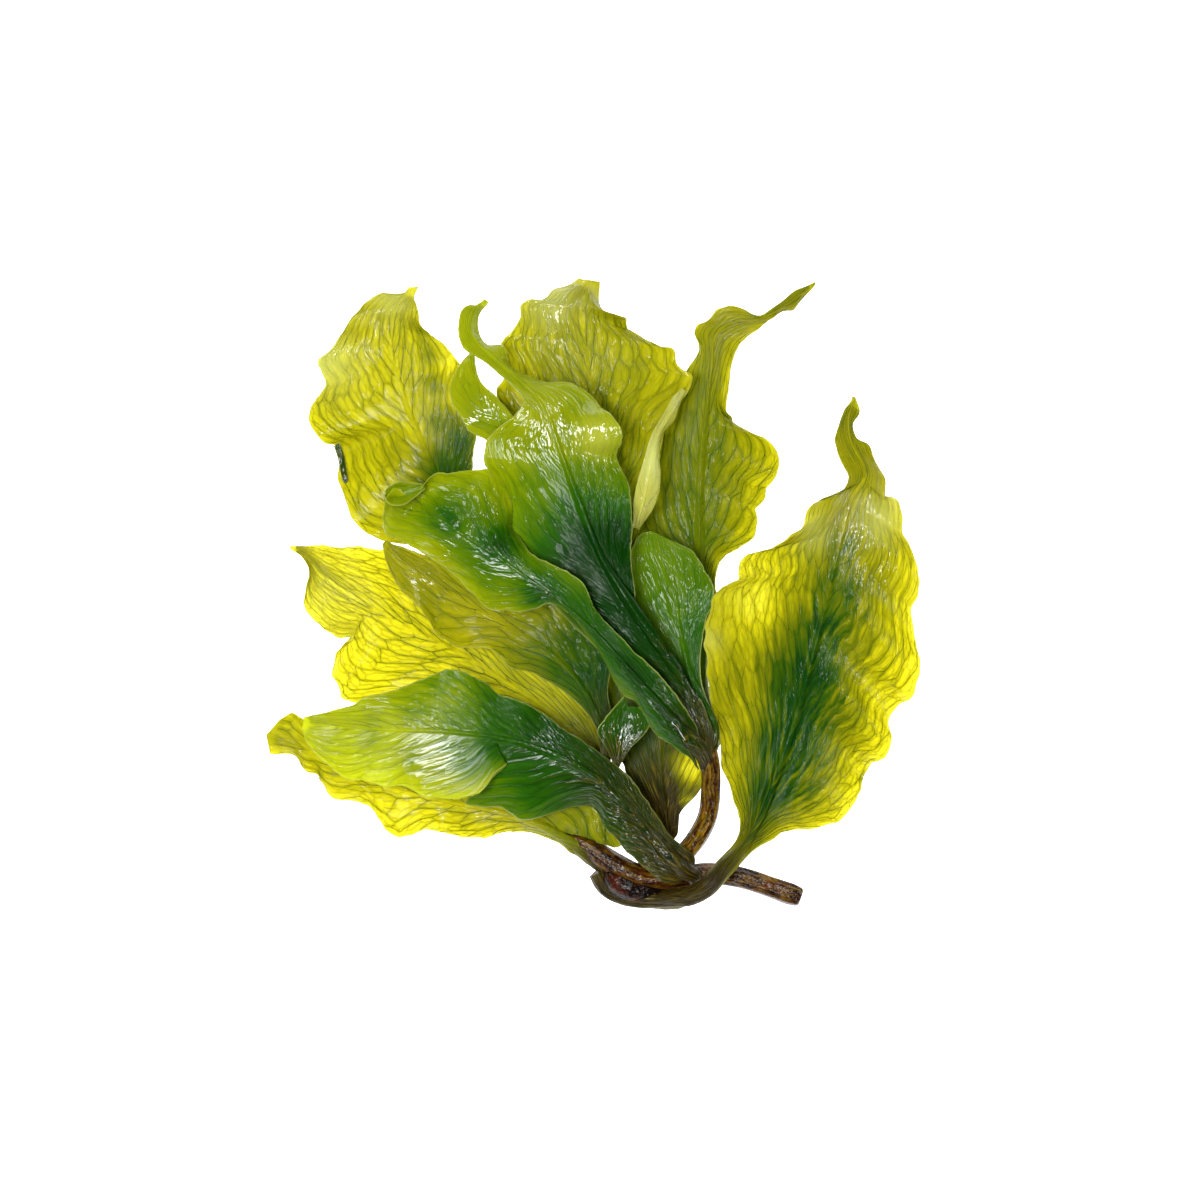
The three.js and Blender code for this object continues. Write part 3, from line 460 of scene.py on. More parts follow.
        "rows": """
        574 842 5 | 570 853 4.5, 560 844 4 | 590 841 5, 620 846 5, 614 834 5
        556 833 5.5 | 550 838 3.5, 540 835 3 | 608 806 6, 580 790 6
        534 823 5.5 | 530 833 2.5, 518 832 2 | 555 782 6, 525 775 6
        500 812 5 | 505 832 2, 483 837 3 | 495 774 6, 470 770 6
        455 803 5 | 460 838 5, 443 832 6, 427 831 3 | 445 768 6, 420 765 6
        410 793 5 | 411 836 2, 397 837 2, 382 825 4 | 390 767 6, 370 760 6
        368 780 6 | 374 811 6, 366 804 5, 350 802 3 | 355 752 7, 340 744 7
        332 766 7 | 332 797 3, 322 785 5, 317 775 8 | 325 733 8, 313 724 8
        304 748 9 | 306 771 9, 296 757 8, 286 755 6 | 300 716 9, 291 713 10""",
        "tip": "266 735 10, 270 754 7, 280 721 12",
        "fan": 0.3, "ruffle": 1.2, "wet": 0.15,
        "shades": [
            [0, 0.8, 0.5, 0.5], [0.35, 0.3, 0.1, 0.4], [0.55, 0.15, 0.08, 0.18], [0.8, 0.25, 0.08, 0.18],
            [1, 0.35, 0.2, 0.25],
        ],
        "wet_patches": [[480, 800, 25, 0.8]],
        "brown": [[0, 1], [0.06, 0.9], [0.15, 0.1], [0.2, 0]],
    },
    "small_blade_right": {
        "slot": "blade_dark", "radius": THIN_STALK_RADIUS, "lines": 60,
        "root": "708 753 17.5, 714 739 18.5",
        "stalk": "714 727 19, 702 700 19",
        "rows": """
        690 672 18.5 | 676 672 17, 659 650 16 | 700 670 19, 703 640 19
        680 630 17.5 | 641 628 16, 630 605 16 | 706 618 18, 714 604 18
        675 590 16.5 | 627 583 17, 629 562 16 | 713 588 18, 707 573 16
        668 558 15.5 | 632 545 15, 640 534 14 | 700 560 15, 690 550 16""",
        "tip": "661 536 14, 651 531 14, 675 542 15",
        "fan": 0.25, "ruffle": 0.4, "wet": 0.25, "veins": 0.35,
        "shades": [[0, 1, 0.95, 0.95], [0.5, 0.7, 0.6, 0.8], [1, 0.5, 0.5, 0.5]],
        "wet_patches": [[665, 600, 16, 0.35]],
        "brown": [[0, 0.8], [0.15, 0.2], [0.3, 0]],
    },
    "small_blade_left": {
        "slot": "blade_dark", "radius": LEAFLET_STALK_RADIUS, "lines": 50,
        "root": "606 771 6, 614 769 10.5",
        "rows": """
        617 762 12.5 | 612 762 12.5, 604 745 13.5 | 622 762 12.5, 631 748 13.5
        622 735 13 | 597 731 14.5, 604 720 15 | 643 735 14, 651 720 15""",
        "tip": "628 706 13.5, 624 696 15, 640 707 15",
        "fan": 0.2, "ruffle": 0.3, "wet": 0.4, "veins": 0.35,
        "shades": [[0, 0.95, 0.85, 0.85], [1, 0.8, 0.7, 0.7]],
        "wet_patches": [[622, 738, 10, 1.2]],
        "brown": [[0, 1.3], [0.3, 0.9], [0.7, 0.3], [1, 0]],
    },
    "blade_back": {
        "slot": "blade_yellow", "radius": THIN_STALK_RADIUS, "lying": True, "lines": 60,
        "root": "662 873 4.3",
        "stalk": "664 857 4.5, 668 840 5",
        "rows": """
        667 825 5 | 660 832 5, 645 805 4.5 | 677 836 5, 681 812 5
        662 780 5 | 630 780 5, 620 760 5 | 700 788 5, 712 760 5
        660 735 5 | 612 738 4, 604 715 4 | 722 740 5, 727 720 6
        658 690 5 | 600 690 3, 601 665 4 | 718 700 4, 700 672 3.5
        652 650 4.5 | 607 645 5, 622 622 5 | 690 650 3, 672 628 4""",
        "tip": "645 615 4.5, 637 613 4.5, 655 614 4.5",
        "fan": 0.25, "ruffle": 0.4, "wet": 0.05, "veins": 1.3,
        "shades": [[0, 1, 0.85, 0.85], [0.4, 0.75, 0.65, 0.5], [1, 0.6, 0.5, 0.4]],
        "patches": [[692, 768, 22, 0], [686, 800, 10, 0.2], [700, 740, 18, 0.1]],
        "brown": [[0, 1.4], [0.3, 0.95], [0.5, 0.6], [0.75, 0.2], [1, 0]],
    },
}


def points_of(text):
    """Points from text such as "745 843 9.5, 735 841 10"."""
    return [[float(number) for number in point.split()] for point in text.split(",") if point.strip()]


def settled_height(height):
    """Height of a lying blade, pressed down towards the surface."""
    if height >= SETTLED_TOP:
        return height
    share = max(0, height - SETTLED_LOW) / (SETTLED_TOP - SETTLED_LOW)
    return LOWEST_MIDDLE + share * (SETTLED_TOP - LOWEST_MIDDLE)


def place(point, lying=False):
    """A picture point's real place: a raised point looks further from the picture's center than it is."""
    across, down, height = point[:3]
    z = settled_height(height) if lying else height
    lean = 1 - z / VIEW_HEIGHT
    x = (across - PICTURE_CENTER) * lean + PICTURE_CENTER - FROND_CENTER_ACROSS
    y = (PICTURE_CENTER - down) * lean + FROND_CENTER_DOWN - PICTURE_CENTER
    return np.array([x * POINT, y * POINT, z])


def smooth(points, index):
    """Places on the smooth curve through the points, where index 1.5 is between the second and the third."""
    points = np.array(points, float)
    padded = np.vstack([2 * points[0] - points[1], points, 2 * points[-1] - points[-2]])
    first = np.clip(np.floor(index).astype(int), 0, len(points) - 2)
    t = (index - first)[:, None]
    before, start, end, after = (padded[first + i] for i in range(4))
    step = np.sqrt(np.linalg.norm(end - start, axis=1))[:, None]
    step_before = np.sqrt(np.linalg.norm(start - before, axis=1))[:, None]
    step_after = np.sqrt(np.linalg.norm(after - end, axis=1))[:, None]
    leave = (start - before) / step_before - (end - before) / (step_before + step)
    leave = leave * step + (end - start)
    arrive = (after - end) / step_after - (after - start) / (step + step_after)
    arrive = arrive * step + (end - start)
    square = 3 * (end - start) - 2 * leave - arrive
    cube = 2 * (start - end) + leave + arrive
    return start + t * (leave + t * (square + t * cube))


def lattice_noise(x, y, seed):
    """Smooth seeded noise from -1 to 1, with one random value for each unit square."""
    table = np.random.default_rng(seed).uniform(-1, 1, (64, 64))
    column = np.floor(x).astype(int)
    row = np.floor(y).astype(int)
    fx = x - column
    fy = y - row
    fx = fx * fx * (3 - 2 * fx)
    fy = fy * fy * (3 - 2 * fy)
    near = table[column % 64, row % 64] * (1 - fx) + table[(column + 1) % 64, row % 64] * fx
    far = table[column % 64, (row + 1) % 64] * (1 - fx) + table[(column + 1) % 64, (row + 1) % 64] * fx
    return near * (1 - fy) + far * fy


def travelled_along(points):
    """How far each point of a line is along it."""
    return np.concatenate([[0], np.cumsum(np.linalg.norm(np.diff(points, axis=0), axis=1))])


class Rail:
    """A smooth line through points that are grouped in rows: at(g) gives its places at row numbers g."""

    def __init__(self, groups):
        self.points = [point for group in groups for point in group]
        self.counts = np.array([len(group) for group in groups])
        self.starts = np.cumsum(self.counts) - self.counts

    def at(self, g):
        row = np.clip(np.floor(g).astype(int), 0, len(self.counts) - 2)
        index = self.starts[row] + (g - row) * self.counts[row]
        return smooth(self.points, np.clip(index, 0, len(self.points) - 1))


class Blade:
    """A stalk and its blade. Row numbers g run along it, and v runs from -1, left margin, to 1, right."""

    def __init__(self, outline):
        def places(text):
            return [place(point, outline.get("lying", False)) for point in points_of(text)]

        self.stalk_radius = outline["radius"]
        root = places(outline.get("root", ""))
        stalk = root + places(outline.get("stalk", ""))
        rows = [[places(part) for part in line.split("|")] for line in outline["rows"].strip().splitlines()]
        path = stalk + [row[0][0] for row in rows]
        middle = [[point] for point in path]
        left = []
        right = []
        for i, point in enumerate(stalk):
            along = path[i + 1] - path[max(i - 1, 0)]
            side = np.array([-along[1], along[0], 0])
            side *= self.stalk_radius / np.linalg.norm(side)
            left.append([point + side])
            right.append([point - side])
        left += [row[1] for row in rows]
        right += [row[2] for row in rows]
        tip = places(outline["tip"])
        self.middle = Rail(middle + [tip[:1]])
        self.left = Rail(left + [tip[1:2]])
        self.right = Rail(right + [tip[2:]])
        self.last = len(middle)
        self.blade_start = max(len(stalk) - 1, len(root))

    def rib(self, g):
        """Radius of the stalk, and of the midrib that it thins to."""
        share = np.clip((g - self.blade_start) / (self.last - self.blade_start), 0, 1)
        return self.stalk_radius * (LEAST_RIB + (1 - LEAST_RIB) * (1 - share) ** RIB_FADE)

    def stations(self, count):
        """Row numbers that are evenly spread along the blade."""
        fine = np.linspace(0, self.last, MEASURING_STEPS)
        length = np.zeros(MEASURING_STEPS - 1)
        for rail, weight in [(self.middle, 1), (self.left, 0.5), (self.right, 0.5)]:
            length += weight * np.linalg.norm(np.diff(rail.at(fine), axis=0), axis=1)
        travelled = np.concatenate([[0], np.cumsum(length)])
        return np.interp(np.linspace(0, travelled[-1], count), travelled, fine)


def jagged(margin, middle, seed):
    """The margin with the small nicks and waves of a torn, growing edge."""
    travelled = travelled_along(margin)
    outward = margin - middle
    outward[:, 2] = 0
    width = np.linalg.norm(outward, axis=1)[:, None]
    outward /= np.maximum(width, 0.01)
    zero = np.zeros_like(travelled)
    amount = EDGE_WAVE * lattice_noise(travelled / EDGE_WAVE_LENGTH, zero, seed)
    amount = amount + EDGE_NICK * lattice_noise(travelled / EDGE_NICK_LENGTH, zero, seed + 1)
    return margin + outward * amount[:, None] * np.clip(width / JAGGED_WIDTH, 0, 1), travelled


def normals(center):
    """Directions that the grid's upper side faces."""
    normal = np.cross(np.gradient(center, axis=1), np.gradient(center, axis=0))
    return normal / np.maximum(np.linalg.norm(normal, axis=2, keepdims=True), 1e-9)


def patched(value, center, patches):
    """The value with patches in it, each [across, down, radius, value], soft at their borders."""
    for across, down, radius, there in patches:
        spot = place([across, down, 8])
        away = np.linalg.norm(center[..., :2] - spot[:2], axis=2) / (radius * POINT)
        value = value + (there - value) * np.exp(-(away**2))
    return value


def blade_surface(tissue, blade, seed):
    """The middle surface of a blade as a grid, with its margin and ruffles, and what its tissue is."""
    lines = tissue.get("lines", USUAL_LINES)
    g = blade.stations(int(lines * ROWS_PER_LINE))
    middle = blade.middle.at(g)
    smooth_left, smooth_right = blade.left.at(g), blade.right.at(g)
    left, left_travelled = jagged(smooth_left, middle, seed)
    right, right_travelled = jagged(smooth_right, middle, seed + 2)
    travelled = travelled_along(middle)
    rib = blade.rib(g)
    left_width = np.linalg.norm(left - middle, axis=1)
    right_width = np.linalg.norm(right - middle, axis=1)
    narrow = np.clip(rib * 2 / (left_width + right_width), 0, 1)[:, None]
    even = np.linspace(-1, 1, lines)[None, :]
    v = even * (1 - narrow) + np.sin(even * math.pi / 2) * narrow
    share = np.abs(v)
    is_left = v < 0
    margin = np.where(is_left[..., None], smooth_left[:, None, :], smooth_right[:, None, :])
    nicks = np.where(is_left[..., None], (left - smooth_left)[:, None, :], (right - smooth_right)[:, None, :])
    width = np.where(is_left, left_width[:, None], right_width[:, None])
    center = middle[:, None, :] * (1 - share[..., None]) + margin * share[..., None]
    center = center + nicks * share[..., None] ** NICK_POWER
    lift = (margin[..., 2] - middle[:, None, 2]) * share**SAG_POWER
    center[..., 2] = np.maximum(middle[:, None, 2] + lift, LOWEST_MIDDLE)

    along = travelled[:, None]
    across = v * width
    tau = along / travelled[-1]
    on_blade = np.clip((g - blade.blade_start) / ROWS_TO_FULL_BLADE, 0, 1)[:, None]
    half_width = np.percentile(((left_width + right_width) / 2)[g >= blade.blade_start], BROAD)
    climbed = np.maximum(travelled - np.interp(blade.blade_start, g, travelled), 0)[:, None]

    along_margin = np.where(is_left, left_travelled[:, None], right_travelled[:, None] + FAR_SIDE)
    along_margin = along_margin / RUFFLE_LENGTH
    ruffle = lattice_noise(along_margin, share * RUFFLE_DEPTH, seed + 3) * share**RUFFLE_POWER
    fine_ruffle = FINE_RUFFLE * lattice_noise(along_margin * 2, share, seed + 4) * share**FINE_RUFFLE_POWER
    ruffle = (ruffle + fine_ruffle) * tissue["ruffle"] * np.clip(width / RUFFLED_WIDTH, 0, 1)
    slow = lattice_noise(across / SLOW_WAVE, along / SLOW_WAVE, seed + 6) * SLOW_HEIGHT * on_blade
    pleated = np.clip(1 - climbed / (PLEAT_END * np.max(climbed)), 0, 1) * np.clip(1.1 - share, 0, 1)
    pleat = PLEAT * lattice_noise(across / PLEAT_WIDTH, along / PLEAT_LENGTH, seed + 8) * pleated
    center = center + normals(center) * (ruffle + slow + pleat)[..., None]

    shades = np.array(tissue["shades"])
    at_middle, at_left, at_right = (np.interp(tau, shades[:, 0], shades[:, i]) for i in (1, 2, 3))
    shade = at_middle + (np.where(is_left, at_left, at_right) - at_middle) * share**SHADE_POWER
    shade = patched(shade, center, tissue.get("patches", []))
    brown = np.interp(tau, *np.array(tissue.get("brown", NO_BROWN)).T)
    return {
        "center": center,
        "narrow": narrow[:, 0],
        "travelled": travelled,
        "rows": g,
        "rib": rib[:, None],
        "across": across,
        "on_blade": on_blade,
        "share": share,
        "half_width": half_width,
        "flow": share * half_width - tissue["fan"] * climbed,
        "along": along + UNLIKE_SIDES * across,
        "shade": shade,
        "margin": width * (1 - share),
        "brown": brown * np.clip(shade / BROWN_SHADE, 0, 1),
        "pale": patched(np.full(v.shape, tissue.get("pale", 0)), center, tissue.get("pale_patches", [])),
        "wet": patched(np.full(v.shape, tissue["wet"]), center, tissue.get("wet_patches", [])),
    }


def distances(center, points):
    """How far each point of a grid is from the nearest of the points."""
    tree = KDTree(len(points))
    for number, point in enumerate(points):
        tree.insert(point, number)
    tree.balance()
    return np.array([tree.find(point)[2] for point in center.reshape(-1, 3)]).reshape(center.shape[:2])


def swell(surface, vein_points, vein_share):
    """Swells the tissue between the main veins, and darkens it close to them."""
    center, rib = surface["center"], surface["rib"]
    from_vein = distances(center, vein_points)
    pad = np.clip(from_vein / PAD_REACH, 0, 1)
    pad = pad * pad * (3 - 2 * pad)
    inside = np.clip(surface["margin"] / PAD_FROM_MARGIN, 0, 1)
    inside = inside * np.clip((np.abs(surface["across"]) - rib) / PAD_FROM_RIB, 0, 1) * surface["on_blade"]
    surface["center"] = center + normals(center) * (PAD_HEIGHT * pad * inside)[..., None]
    halo = vein_share * VEIN_HALO * np.exp(-((from_vein / VEIN_HALO_REACH) ** 2)) * inside
    surface["shade"] = surface["shade"] + halo


def blade_sheet(name, surface, seed):
    """The blade as a closed sheet: a thick ridged stalk and midrib with thin tissue on both sides."""
    center, rib, across = surface["center"], surface["rib"], surface["across"]
    normal = normals(center)
    sheet = MIDDLE_HALF + (MARGIN_HALF - MIDDLE_HALF) * surface["share"] ** 2
    in_rib = np.sqrt(np.maximum(0, 1 - (across / rib) ** 2))
    ridge = lattice_noise(across / RIDGE_WIDTH, surface["along"] / RIDGE_LENGTH, seed + 7) * RIDGE
    half = np.hypot(sheet, in_rib * (rib + ridge * np.minimum(rib / 2, 1)))
    upper = center + normal * half[..., None]
    lower = center - normal * half[..., None]
    upper[..., 2] = np.maximum(upper[..., 2], 0)
    lower[..., 2] = np.maximum(lower[..., 2], 0)
    return closed_sheet(name, upper, lower, {key: surface[key] for key in TISSUE_VALUES})


def closed_sheet(name, upper, lower, values):
    """A mesh from an upper and a lower grid of points, with walls around them."""
    count, lines = upper.shape[:2]
    number = np.arange(count * lines).reshape(count, lines)
    under = number + count * lines

    def quads(a, b, c, d):
        return np.stack([a.ravel(), b.ravel(), c.ravel(), d.ravel()], axis=1)

    faces = [
        quads(number[:-1, :-1], number[:-1, 1:], number[1:, 1:], number[1:, :-1]),
        quads(under[:-1, :-1], under[1:, :-1], under[1:, 1:], under[:-1, 1:]),
        quads(number[:-1, 0], number[1:, 0], under[1:, 0], under[:-1, 0]),
        quads(number[:-1, -1], under[:-1, -1], under[1:, -1], number[1:, -1]),
        quads(number[0, :-1], under[0, :-1], under[0, 1:], number[0, 1:]),
        quads(number[-1, :-1], number[-1, 1:], under[-1, 1:], under[-1, :-1]),
    ]
    points = np.concatenate([upper.reshape(-1, 3), lower.reshape(-1, 3)]) * MM
    return new_mesh(name, points, np.concatenate(faces).tolist(), {
        key: np.tile(np.broadcast_to(value, (count, lines)).ravel(), 2) for key, value in values.items()
    })


def new_mesh(name, points, faces, values, edges=()):
    """A smooth mesh object with a number for each point under each of the names in values."""
    mesh = bpy.data.meshes.new(name)
    mesh.from_pydata(points.tolist(), edges, faces)
    for key, value in values.items():
        attribute = mesh.attributes.new(key, "FLOAT", "POINT")
        attribute.data.foreach_set("value", np.ascontiguousarray(value, dtype=np.float32))
    mesh.shade_smooth()
    mesh.update()
    piece = bpy.data.objects.new(name, mesh)
    bpy.context.scene.collection.objects.link(piece)
    return piece


def linear(hex_color):
    """An sRGB hex color as the linear color that the shaders take."""
    channels = [int(hex_color[i : i + 2], 16) / 255 for i in (1, 3, 5)]
    return (*(c / 12.92 if c <= 0.04045 else ((c + 0.055) / 1.055) ** 2.4 for c in channels), 1)


def add(tree, kind, inputs, **settings):
    """Adds a node with its settings, and sets or links its inputs."""
    node = tree.nodes.new(kind)
    for name, value in settings.items():
        setattr(node, name, value)
    for socket, value in inputs.items():
        if isinstance(value, bpy.types.NodeSocket):
            tree.links.new(value, node.inputs[socket])
        else:
            node.inputs[socket].default_value = value
    return node.outputs


def set_ramp(ramp, stops):
    """Colors a ramp from [position, hex color] stops."""
    while len(ramp.elements) > 1:
        ramp.elements.remove(ramp.elements[-1])
    ramp.elements[0].position = stops[0][0]
    ramp.elements[0].color = linear(stops[0][1])
    for position, color in stops[1:]:
        ramp.elements.new(position).color = linear(color)


# Real sizes of the pattern in the tissue, in millimetres: [across the veins, along them] or one size
STRIATION = (0.5, 7)
STREAK = (1.7, 16)
WRINKLE = (1.05, 3.4)
STALK_STREAK = (0.8, 7)
MOTTLE = 9
STALK_MOTTLE = 5
STALK_GRAIN = 1.1
BEND_SIZE = 11
BEND = 5
# How smooth the slime is, and how strongly it mirrors
SLIME_ROUGHNESS = 0.06
SLIME_IOR = 1.6
STALK_SLIME = 0.5


def new_material(name):
    """A material without nodes, and its tree."""
    material = bpy.data.materials.new(name)
    material.use_nodes = True
    material.node_tree.nodes.clear()
    return material, material.node_tree


def surface_pattern(tree):
    """The place on the tissue in millimetres, as [flow, along], bent so that veins wander."""
    flow = add(tree, "ShaderNodeAttribute", {}, attribute_name="flow")["Fac"]
    along = add(tree, "ShaderNodeAttribute", {}, attribute_name="along")["Fac"]
    flat = add(tree, "ShaderNodeCombineXYZ", {"X": flow, "Y": along})["Vector"]
    noise = add(tree, "ShaderNodeTexNoise", {"Vector": flat, "Scale": 1 / BEND_SIZE, "Detail": 3.0})["Color"]
    half = (0.5, 0.5, 0.5)
    most = (BEND, BEND, 0)
    bend = add(tree, "ShaderNodeVectorMath", {0: noise, 1: half}, operation="SUBTRACT")["Vector"]
    bend = add(tree, "ShaderNodeVectorMath", {0: bend, 1: most}, operation="MULTIPLY")["Vector"]
    return add(tree, "ShaderNodeVectorMath", {0: flat, 1: bend}, operation="ADD")["Vector"]


def under_slime(tree, tissue, film, wet):
    """Ends the material with clear slime that mirrors the lamps, more at a slant and where it lies thick."""
    reflected = add(tree, "ShaderNodeFresnel", {"IOR": SLIME_IOR, "Normal": film})["Fac"]
    share = add(tree, "ShaderNodeMath", {0: reflected, 1: wet}, operation="MULTIPLY")["Value"]
    gloss = add(tree, "ShaderNodeBsdfGlossy", {"Roughness": SLIME_ROUGHNESS, "Normal": film})["BSDF"]
    surface = add(tree, "ShaderNodeMixShader", {"Fac": share, 1: tissue, 2: gloss})["Shader"]
    add(tree, "ShaderNodeOutputMaterial", {"Surface": surface})


def blade_material(name, palette, see_through, streaky, seed):
    """Wet kelp tissue: a tone for its thickness, darker veins, a pale margin, gloss from the slime on it."""
    material, tree = new_material(name)
    bent = surface_pattern(tree)
    shade, margin, brown, pale, wet = (
        add(tree, "ShaderNodeAttribute", {}, attribute_name=key)["Fac"] for key in TISSUE_VALUES[2:]
    )

    def scaled(size, shift):
        """The pattern's own place: stretched to its real size and shifted away from the other patterns."""
        stretch = (1 / size[0], 1 / size[1], 1)
        away = (seed, seed * 2, shift)
        sized = add(tree, "ShaderNodeVectorMath", {0: bent, 1: stretch}, operation="MULTIPLY")["Vector"]
        return add(tree, "ShaderNodeVectorMath", {0: sized, 1: away}, operation="ADD")["Vector"]

    fine, long, film_place = scaled(STRIATION, 5), scaled(STREAK, 3), scaled(WRINKLE, 9)
    striation = add(tree, "ShaderNodeTexNoise", {"Vector": fine, "Scale": 1.0, "Detail": 3.0})["Fac"]
    streak = add(tree, "ShaderNodeTexNoise", {"Vector": long, "Scale": 1.0, "Detail": 2.0})["Fac"]
    wrinkle = add(tree, "ShaderNodeTexNoise", {"Vector": film_place, "Scale": 1.0, "Detail": 1.0})["Fac"]
    solid = add(tree, "ShaderNodeTexCoord", {})["Object"]
    dense = 1 / (MOTTLE * MM)
    mottle = add(tree, "ShaderNodeTexNoise", {"Vector": solid, "Scale": dense, "Detail": 3.0})["Fac"]

    # Tone: the shade, streaked and mottled, with the faint lines of the finest veins
    streaked = add(tree, "ShaderNodeMapRange", {
        "Value": streak, "From Min": 0.3, "From Max": 0.7, "To Min": 1 - streaky, "To Max": 1 + streaky,
    })["Result"]
    tone = add(tree, "ShaderNodeMath", {0: shade, 1: streaked}, operation="MULTIPLY")["Value"]
    tone = add(tree, "ShaderNodeMath", {0: mottle, 1: 0.16, 2: tone}, operation="MULTIPLY_ADD")["Value"]
    lines = add(tree, "ShaderNodeMapRange", {
        "Value": striation, "From Min": 0.38, "From Max": 0.62, "To Min": -0.02, "To Max": 0.04,
    })["Result"]
    tone = add(tree, "ShaderNodeMath", {0: tone, 1: lines}, operation="ADD")["Value"]
    tone = add(tree, "ShaderNodeMath", {0: tone, 1: 0.09}, operation="SUBTRACT")["Value"]

    # Color: the palette by tone, then the pale margin, the pale tissue (in places painted sheen) and the base's
    # brown
    by_tone = add(tree, "ShaderNodeValToRGB", {"Fac": tone})["Color"]
    set_ramp(by_tone.node.color_ramp, palette)
    rim = add(tree, "ShaderNodeMapRange", {
        "Value": margin, "From Min": 0.1, "From Max": 0.5, "To Min": 0.45, "To Max": 0.0,
    })["Result"]
    browned = add(tree, "ShaderNodeMath", {0: striation, 1: 0.8, 2: brown}, operation="MULTIPLY_ADD")["Value"]
    browned = add(tree, "ShaderNodeMapRange", {
        "Value": browned, "From Min": 0.45, "From Max": 1.35, "To Min": 0.0, "To Max": 1.0,
    })["Result"]
    by_line = add(tree, "ShaderNodeValToRGB", {"Fac": striation})["Color"]
    set_ramp(by_line.node.color_ramp, BASE_BROWN)
    color = by_tone
    for share, over in [(rim, linear("#C9D06A")), (pale, linear("#E6EC84")), (browned, by_line)]:
        color = add(tree, "ShaderNodeMix", {"Factor": share, 6: color, 7: over}, data_type="RGBA")[2]

    # Skin that scatters light back, and tissue that lets light through where it is thin
    bump = add(tree, "ShaderNodeBump", {"Height": striation, "Strength": 1.0, "Distance": 0.1 * MM})["Normal"]
    film = add(tree, "ShaderNodeBump", {"Height": wrinkle, "Strength": 1.0, "Distance": 0.5 * MM})["Normal"]
    roughness = add(tree, "ShaderNodeMapRange", {
        "Value": mottle, "From Min": 0.3, "From Max": 0.7, "To Min": 0.3, "To Max": 0.45,
    })["Result"]
    skin = add(tree, "ShaderNodeBsdfPrincipled", {
        "Base Color": color, "Roughness": roughness, "IOR": 1.38, "Specular IOR Level": 0.06, "Normal": bump,
    })["BSDF"]
    once = add(tree, "ShaderNodeGamma", {"Color": color, "Gamma": 0.55})["Color"]
    glow = add(tree, "ShaderNodeBsdfTranslucent", {"Color": once, "Normal": bump})["BSDF"]
    passing = add(tree, "ShaderNodeMapRange", {
        "Value": tone, "From Min": 0.0, "From Max": 1.0, "To Min": see_through, "To Max": 0.03,
    })["Result"]
    # Pale tissue, in places a painted sheen, lets less light through
    paled = add(tree, "ShaderNodeMapRange", {"Value": pale, "To Min": 1.0, "To Max": 0.3})["Result"]
    passing = add(tree, "ShaderNodeMath", {0: passing, 1: paled}, operation="MULTIPLY")["Value"]
    tissue = add(tree, "ShaderNodeMixShader", {"Fac": passing, 1: skin, 2: glow})["Shader"]
    under_slime(tree, tissue, film, wet)
    return material


def stem_material():
    """Wet brown stalk: tough, ridged along its length, streaked with dark red and orange brown."""
    material, tree = new_material("wet_ridged_kelp_stalk")
    bent = surface_pattern(tree)
    stretch = (1 / STALK_STREAK[0], 1 / STALK_STREAK[1], 1)
    sized = add(tree, "ShaderNodeVectorMath", {0: bent, 1: stretch}, operation="MULTIPLY")["Vector"]
    streak = add(tree, "ShaderNodeTexNoise", {"Vector": sized, "Scale": 1.0, "Detail": 4.0})["Fac"]
    solid = add(tree, "ShaderNodeTexCoord", {})["Object"]
    mottle, grain = (
        add(tree, "ShaderNodeTexNoise", {"Vector": solid, "Scale": 1 / (size * MM), "Detail": detail})["Fac"]
        for size, detail in [(STALK_MOTTLE, 4.0), (STALK_GRAIN, 2.0)]
    )
    darkness = add(tree, "ShaderNodeAttribute", {}, attribute_name="shade")["Fac"]
    tone = add(tree, "ShaderNodeMath", {0: mottle, 1: 0.5, 2: streak}, operation="MULTIPLY_ADD")["Value"]
    tone = add(tree, "ShaderNodeMath", {0: grain, 1: 0.3, 2: tone}, operation="MULTIPLY_ADD")["Value"]
    tone = add(tree, "ShaderNodeMapRange", {"Value": tone, "From Min": 0.66, "From Max": 1.16})["Result"]
    tone = add(tree, "ShaderNodeMath", {0: tone, 1: darkness}, operation="SUBTRACT")["Value"]
    by_tone = add(tree, "ShaderNodeValToRGB", {"Fac": tone})["Color"]
    set_ramp(by_tone.node.color_ramp, STALK_BROWN)
    reddened = add(tree, "ShaderNodeMapRange", {
        "Value": mottle, "From Min": 0.52, "From Max": 0.66, "To Max": 0.6,
    })["Result"]
    red = linear("#501A04")
    color = add(tree, "ShaderNodeMix", {"Factor": reddened, 6: by_tone, 7: red}, data_type="RGBA")[2]
    bump = add(tree, "ShaderNodeBump", {"Height": streak, "Strength": 1.0, "Distance": 0.5 * MM})["Normal"]
    film = add(tree, "ShaderNodeBump", {"Height": grain, "Strength": 1.0, "Distance": 0.45 * MM})["Normal"]
    skin = add(tree, "ShaderNodeBsdfPrincipled", {
        "Base Color": color, "Roughness": 0.4, "IOR": 1.4, "Specular IOR Level": 0.06, "Normal": bump,
    })["BSDF"]
    under_slime(tree, skin, film, STALK_SLIME)
    return material


